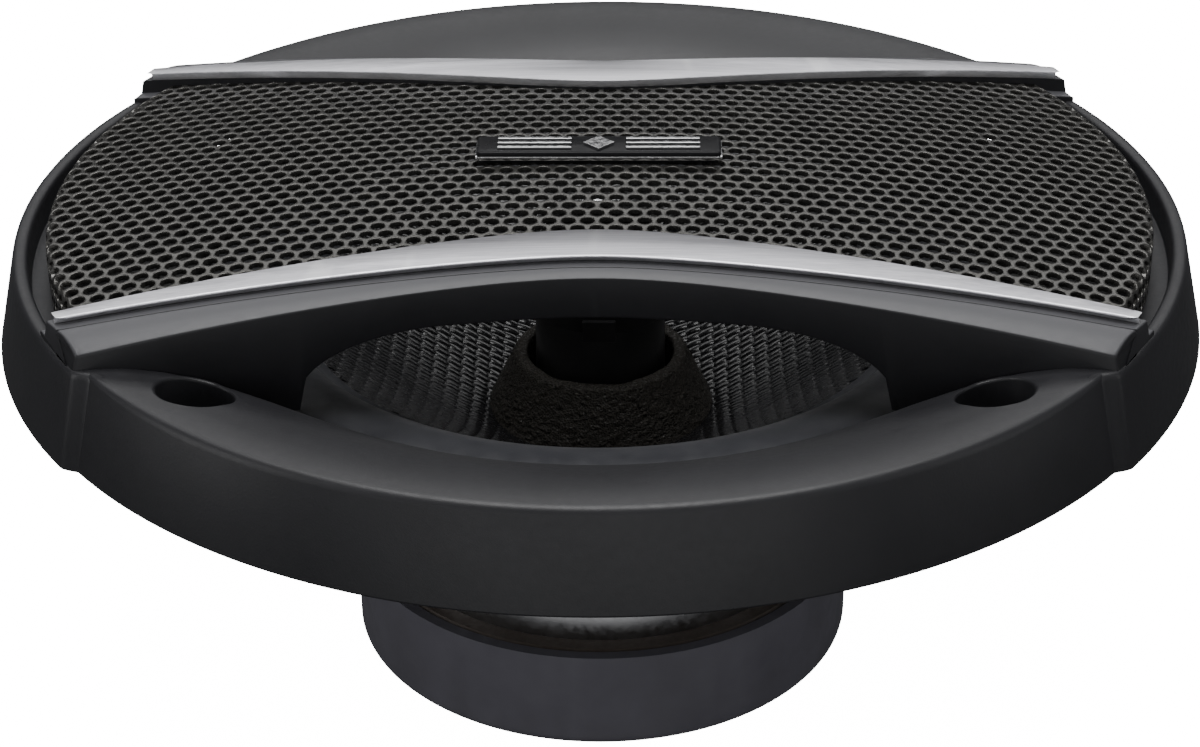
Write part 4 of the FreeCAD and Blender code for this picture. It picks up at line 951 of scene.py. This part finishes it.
def tape(shape, plan, across, width, lift):
    """A flat tape through points in plan, riding over and under at the heights of lift."""
    radius = np.hypot(plan[:, 0], plan[:, 1])
    lean = math.sqrt(1 + CONE_SLOPE ** 2)
    rows = []
    for offset, drop in TAPE_SECTION:
        spots = plan + across * offset * width
        distance = np.maximum(np.hypot(spots[:, 0], spots[:, 1]), 1.0)
        height = np.minimum(cone_top(distance), CONE_EDGE_TOP + 0.3)
        rise = lift - drop
        spots = spots * (1 - CONE_SLOPE * rise / lean / distance)[:, None]
        rows.append(np.column_stack([spots, height + rise / lean]))
    shape.grid(np.stack(rows, axis=1))


def tapes_of(shape, spacing, crossing, width, along_x, first_phase):
    """All tapes one way: each passes over and under those of the other way."""
    inner, outer = CONE_NECK + 1.5, CONE_EDGE + 0.35
    end_gap, sharpness = 0.05, 2.2
    count = int(outer / spacing)
    step = crossing / 5
    for index in range(-count, count + 1):
        centre = index * spacing
        reach = math.sqrt(max(outer ** 2 - centre ** 2, 0))
        gap = math.sqrt(max(inner ** 2 - centre ** 2, 0))
        runs = [(gap, reach), (-reach, -gap)] if gap > 0 else [(-reach, reach)]
        for start, end in runs:
            if end - start < crossing:
                continue
            places = np.arange(math.ceil(start / step), math.floor(end / step) + 1) * step
            between = (places > start + end_gap) & (places < end - end_gap)
            places = np.concatenate([[start], places[between], [end]])
            swing = np.cos(math.pi * (places / crossing + index + first_phase))
            lift = TAPE_LIFT * np.tanh(sharpness * swing)
            line = np.full(len(places), centre)
            plan = np.column_stack([places, line] if along_x else [line, places])
            across = np.array([0.0, 1.0] if along_x else [1.0, 0.0])
            tape(shape, plan, across, width, lift)


def woven_cone():
    """A coated sheet with tapes woven over it both ways."""
    sheet = 0.5
    outline = [
        (CONE_NECK, CONE_FOOT - sheet), (CONE_EDGE, CONE_EDGE_TOP - sheet),
        (CONE_LIP, CONE_EDGE_TOP - sheet, 0.2), (CONE_LIP, CONE_EDGE_TOP - 0.02, 0.2),
        (CONE_EDGE, CONE_EDGE_TOP - 0.08), (CONE_NECK, CONE_FOOT - 0.1),
    ]
    base = Shape(turned_rows(rounded(outline)), wrap_rows=True, wrap_columns=True)
    piece("cone_sheet", base, "cone_assembly", "cone_cloth", "cone", material=CONE_COAT)
    weave = Shape()
    tapes_of(weave, COLUMN_PITCH, ROW_PITCH, COLUMN_PITCH * 0.88, False, 0)
    tapes_of(weave, ROW_PITCH, COLUMN_PITCH, ROW_PITCH * 0.86, True, 1)
    piece("cone_weave", weave, "cone_assembly", "cone_cloth", sharp_angle=60)


def dust_collar():
    """Felt collar whose skin is roughened by seeded grains, with a slightly ragged top."""
    foot_radius, top_radius, bore = 17.2, 12.9, 11.2
    around, mean_radius, top_band = 260, 14, 2.0
    grain_size, raggedness, rag_waves = 0.09, 0.25, 7
    top = high("dust_collar", Z)
    foot = cone_top(foot_radius) + 0.05
    inner_foot = low("dust_collar", Z) + 0.5
    outer = [
        (foot_radius + (top_radius - foot_radius) * t, foot + (top - foot) * t)
        for t in np.linspace(0, 1, 34)
    ]
    crest = rounded([(foot_radius, foot), (top_radius, top, 0.7), (bore, top, 0.5), (bore, inner_foot)], 6)
    inside = [(bore, top - (top - inner_foot) * t) for t in np.linspace(0.1, 1, 10)]
    outline = np.array(outer[:-2] + [tuple(p) for p in crest[1:-1]] + inside)
    rows = turned_rows(outline, around)
    seeded = np.random.default_rng(7)
    grain = seeded.normal(0, grain_size, rows.shape[:2])
    bearings = np.linspace(0, 2 * math.pi, around, endpoint=False)[:, None]
    ragged = raggedness * np.sin(bearings * rag_waves + 1.3)
    near_top = eased((outline[:, 1] - (top - top_band)) / top_band)
    swelling = 1 + (grain / mean_radius) * (1 - 0.3 * near_top)
    rows[:, :, :2] *= swelling[:, :, None]
    rows[:, :, 2] += np.minimum(ragged * near_top + grain * 0.5, 0.0) * near_top
    rows[:, 0] = turned_rows(outline[:1], around)[:, 0]
    shape = Shape(rows, wrap_rows=True, wrap_columns=True)
    piece("collar_skin", shape, "cone_assembly", "collar_felt", "dust_collar")


def radial_blend(item):
    """Bakes the ring's placement into its mesh."""
    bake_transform(item)


def surround():
    """Half-roll rubber ring from the cone's lip to the basket's landing."""
    inner, roll_in, roll_out, outer = 44.5, 47.0, 61.4, high("surround", X)
    lip, foot = CONE_EDGE_TOP + 0.02, low("surround", Z)
    sheet, rise = 0.6, 4.2
    turns = np.linspace(0, math.pi, 25)
    middle, half = (roll_in + roll_out) / 2, (roll_out - roll_in) / 2
    base = [lip + (foot - lip) * t for t in (1 - np.cos(turns)) / 2]
    roll = [(middle - half * math.cos(a), b + rise * math.sin(a) ** 0.9) for a, b in zip(turns, base)]
    upper = [
        (r + sheet * -math.cos(a) * 0.6, z + sheet * max(math.sin(a), 0.55))
        for (r, z), a in zip(roll, turns)
    ]
    outline = [(inner, lip)] + roll + [(outer, foot), (outer, foot + sheet)] + upper[::-1]
    outline += [(inner + 0.3, lip + sheet), (inner, lip + sheet * 0.6)]
    shape = Shape(turned_rows(outline, 180), wrap_rows=True, wrap_columns=True)
    item = new_object("surround_roll", shape, FINISHES["surround_rubber"], 50)
    radial_blend(item)
    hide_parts("surround")


def spider():
    """Corrugated cloth disc with a short neck on the voice coil's former."""
    inner, wave_end, outer = 12.95, 32.5, high("spider", X)
    rest = low("spider", Z) + 0.65
    sheet, neck, swing, waves = 0.45, 3.0, 0.75, 5
    places = np.linspace(inner + 0.6, wave_end, 90)
    phase = (places - places[0]) / (places[-1] - places[0])
    heights = rest + swing * np.sin(phase * waves * 2 * math.pi) * np.sin(phase * math.pi) ** 0.3
    lower = [(inner, rest + neck), (inner, rest + 0.4), *zip(places, heights), (outer, rest)]
    upper = [(r, z + sheet) for r, z in lower[:1:-1]]
    upper += [(inner + sheet, rest + 1.0), (inner + sheet, rest + neck)]
    shape = Shape(turned_rows(lower + upper), wrap_rows=True, wrap_columns=True)
    item = new_object("spider_disc", shape, FINISHES["spider_cloth"], 70)
    radial_blend(item)
    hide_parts("spider")


def smooth_line(name, route):
    """Points of a smooth curve led by the corners of a route, in millimetres."""
    curve = bpy.data.curves.new(f"{name}_line", "CURVE")
    curve.dimensions = "3D"
    spline = curve.splines.new("NURBS")
    spline.points.add(len(route) - 1)
    for point, spot in zip(spline.points, route):
        point.co = (*(c * MM for c in spot), 1)
    spline.order_u = 3
    spline.use_endpoint_u = True
    spline.resolution_u = 16
    holder = bpy.data.objects.new(f"{name}_line", curve)
    bpy.context.scene.collection.objects.link(holder)
    bpy.context.view_layer.update()
    graph = bpy.context.evaluated_depsgraph_get()
    line = bpy.data.meshes.new_from_object(holder.evaluated_get(graph))
    places = np.array([vertex.co for vertex in line.vertices]) / MM
    bpy.data.objects.remove(holder)
    return places


def tinsel_lead(name, side):
    """A braided lead: strands wound round a smooth line from the cone to the terminal."""
    x = side * 9.5
    places = smooth_line(name, [
        (x, 19.6, -18.2), (x, 22.4, -20.9), (x, 27.0, -22.6), (x, 32.5, -21.6),
        (x, 37.5, -18.8), (x, 42.0, -17.6), (x, 46.0, -19.6), (x, 49.2, -22.0),
    ])
    travelled = np.concatenate([[0], np.cumsum(np.linalg.norm(np.diff(places, axis=0), axis=1))])
    ahead = np.gradient(places, axis=0)
    ahead /= np.linalg.norm(ahead, axis=1, keepdims=True)
    sideways = np.array([1.0, 0.0, 0.0])
    upward = np.cross(ahead, sideways)
    shape = Shape()
    rope_radius, strand_radius, turn_length, strands = 0.36, 0.22, 3.2, 4
    for strand in range(strands):
        rows = []
        for spot, distance, up in zip(places, travelled, upward):
            angle = 2 * math.pi * (distance / turn_length + strand / strands)
            middle = spot + rope_radius * (math.cos(angle) * sideways + math.sin(angle) * up)
            rows.append([
                middle + strand_radius * (math.cos(a) * sideways + math.sin(a) * up)
                for a in np.linspace(0, 2 * math.pi, 8, endpoint=False)
            ])
        shape.grid(rows, wrap_columns=True, caps=True)
    item = new_object(f"{name}_braid", shape, FINISHES["tinsel_braid"], 70)
    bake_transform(item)
    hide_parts(name)


# ---- CAD nodes that keep their shape ----
# Width of the eased edges of each
EASED = {
    "top_plate": 0.25, "back_plate": 0.25, "post_nut": 0.15, "tweeter_post": 0.3,
    "tweeter_clip": 0.15, "terminal_board": 0.15, "terminal_positive": 0.12, "terminal_negative": 0.12,
    "terminal_rivets": 0.15, "board_rivet": 0.15, "basket_rivets": 0.2, "badge_emblem": 0.06,
    "tweeter_housing": 0.2, "basket": 0.2,
}


def finish_cad_nodes():
    """Gives every CAD node its slot's material, and eases the edges of the plain ones."""
    for subpart in frame["record"]["subparts"]:
        node = frame["nodes"][subpart["node"]]
        slot = subpart["material_slot"]
        node.data.materials.clear()
        node.data.materials.append(FINISHES[slot])
        if subpart["node"] in EASED:
            weld = node.modifiers.new("weld", "WELD")
            weld.merge_threshold = SLIVER_LENGTH * MM
            bevel = node.modifiers.new("eased_edges", "BEVEL")
            bevel.width = EASED[subpart["node"]] * MM
            bevel.segments = 2
            bevel.limit_method = "ANGLE"
            bevel.angle_limit = math.radians(50)


# ---- Floor, light and camera ----
WHITE = (1, 1, 1, 1)
WHITE_STRENGTH = 16.0
FLOOR_REACH = 2500.0
FLOOR_GAP = 0.02


def studio():
    """A white floor and backdrop that only the camera sees, and a faint fill light."""
    floor = Finish("floor", (0.9, 0.9, 0.9), 0.9, Emission_Color=WHITE, Emission_Strength=WHITE_STRENGTH)
    floor.uneven(floor.noise(400.0), 0.02)
    bottom = cad_low.z / MM - FLOOR_GAP
    places = np.linspace(-FLOOR_REACH, FLOOR_REACH, 5)
    shape = Shape([[(x, y, bottom) for x in places] for y in places])
    ground = new_object("floor", shape, floor.material)
    ground.visible_glossy = False
    ground.visible_diffuse = False
    world = bpy.data.worlds.new("studio")
    bpy.context.scene.world = world
    world.use_nodes = True
    tree = world.node_tree
    backdrop = tree.nodes["Background"]
    backdrop.inputs["Color"].default_value = WHITE
    backdrop.inputs["Strength"].default_value = WHITE_STRENGTH
    fill = tree.nodes.new("ShaderNodeBackground")
    fill.inputs["Color"].default_value = (0.96, 0.97, 1.0, 1)
    fill.inputs["Strength"].default_value = 0.07
    choice = tree.nodes.new("ShaderNodeMixShader")
    rays = tree.nodes.new("ShaderNodeLightPath")
    tree.links.new(rays.outputs["Is Camera Ray"], choice.inputs["Fac"])
    tree.links.new(fill.outputs["Background"], choice.inputs[1])
    tree.links.new(backdrop.outputs["Background"], choice.inputs[2])
    tree.links.new(choice.outputs["Shader"], tree.nodes["World Output"].inputs["Surface"])


def soft_light(name, place, width, depth, power):
    """A soft box that faces the middle of the speaker. Places and sizes are in metres."""
    data = bpy.data.lights.new(name, "AREA")
    data.shape = "RECTANGLE"
    data.size, data.size_y = width, depth
    data.energy = power
    light = bpy.data.objects.new(name, data)
    light.location = place
    light.rotation_euler = Vector(place).to_track_quat("Z", "Y").to_euler()
    bpy.context.scene.collection.objects.link(light)


def lights():
    """Soft boxes round the speaker. The ones behind and above draw the long highlights."""
    soft_light("back_wall", (0.0, 1.2, 0.92), 3.0, 0.5, 8.0)
    soft_light("high_back_box", (0.0, 0.36, 1.1), 1.2, 0.25, 5.0)
    soft_light("top_box", (0.0, -0.1, 1.35), 1.0, 0.6, 13.0)
    soft_light("high_front_box", (0.0, -1.1, 0.9), 2.0, 1.0, 1.2)
    soft_light("left_box", (-1.2, -0.4, 0.35), 0.5, 0.9, 3.0)
    soft_light("right_box", (1.2, -0.4, 0.35), 0.5, 0.9, 1.4)
    soft_light("front_box", (0.0, -1.3, 0.0), 2.0, 1.0, 4.5)


def camera():
    """The photograph's own viewpoint, fitted to the rim, the trims and the boot."""
    place = Vector((6.148, -370.771, 192.336)) * MM
    forward = Vector((-0.014737, 0.873495, -0.486609)).normalized()
    roll = math.radians(-0.4748)
    level = forward.cross(Vector((0, 0, 1))).normalized()
    upright = level.cross(forward)
    right = level * math.cos(roll) + upright * math.sin(roll)
    up = upright * math.cos(roll) - level * math.sin(roll)
    data = bpy.data.cameras.new("camera")
    data.lens = 82.52
    data.sensor_width = 36.0
    data.clip_start, data.clip_end = 0.01, 20.0
    item = bpy.data.objects.new("camera", data)
    item.matrix_world = Matrix((
        (right.x, up.x, -forward.x, place.x),
        (right.y, up.y, -forward.y, place.y),
        (right.z, up.z, -forward.z, place.z),
        (0, 0, 0, 1),
    ))
    bpy.context.scene.collection.objects.link(item)
    bpy.context.scene.camera = item


finish_cad_nodes()
grille_bezel()
grille_mesh()
trim_strip("trim_front", -1)
trim_strip("trim_rear", 1)
badge()
woven_cone()
dust_collar()
surround()
spider()
tinsel_lead("tinsel_lead_positive", 1)
tinsel_lead("tinsel_lead_negative", -1)
studio()
lights()
camera()
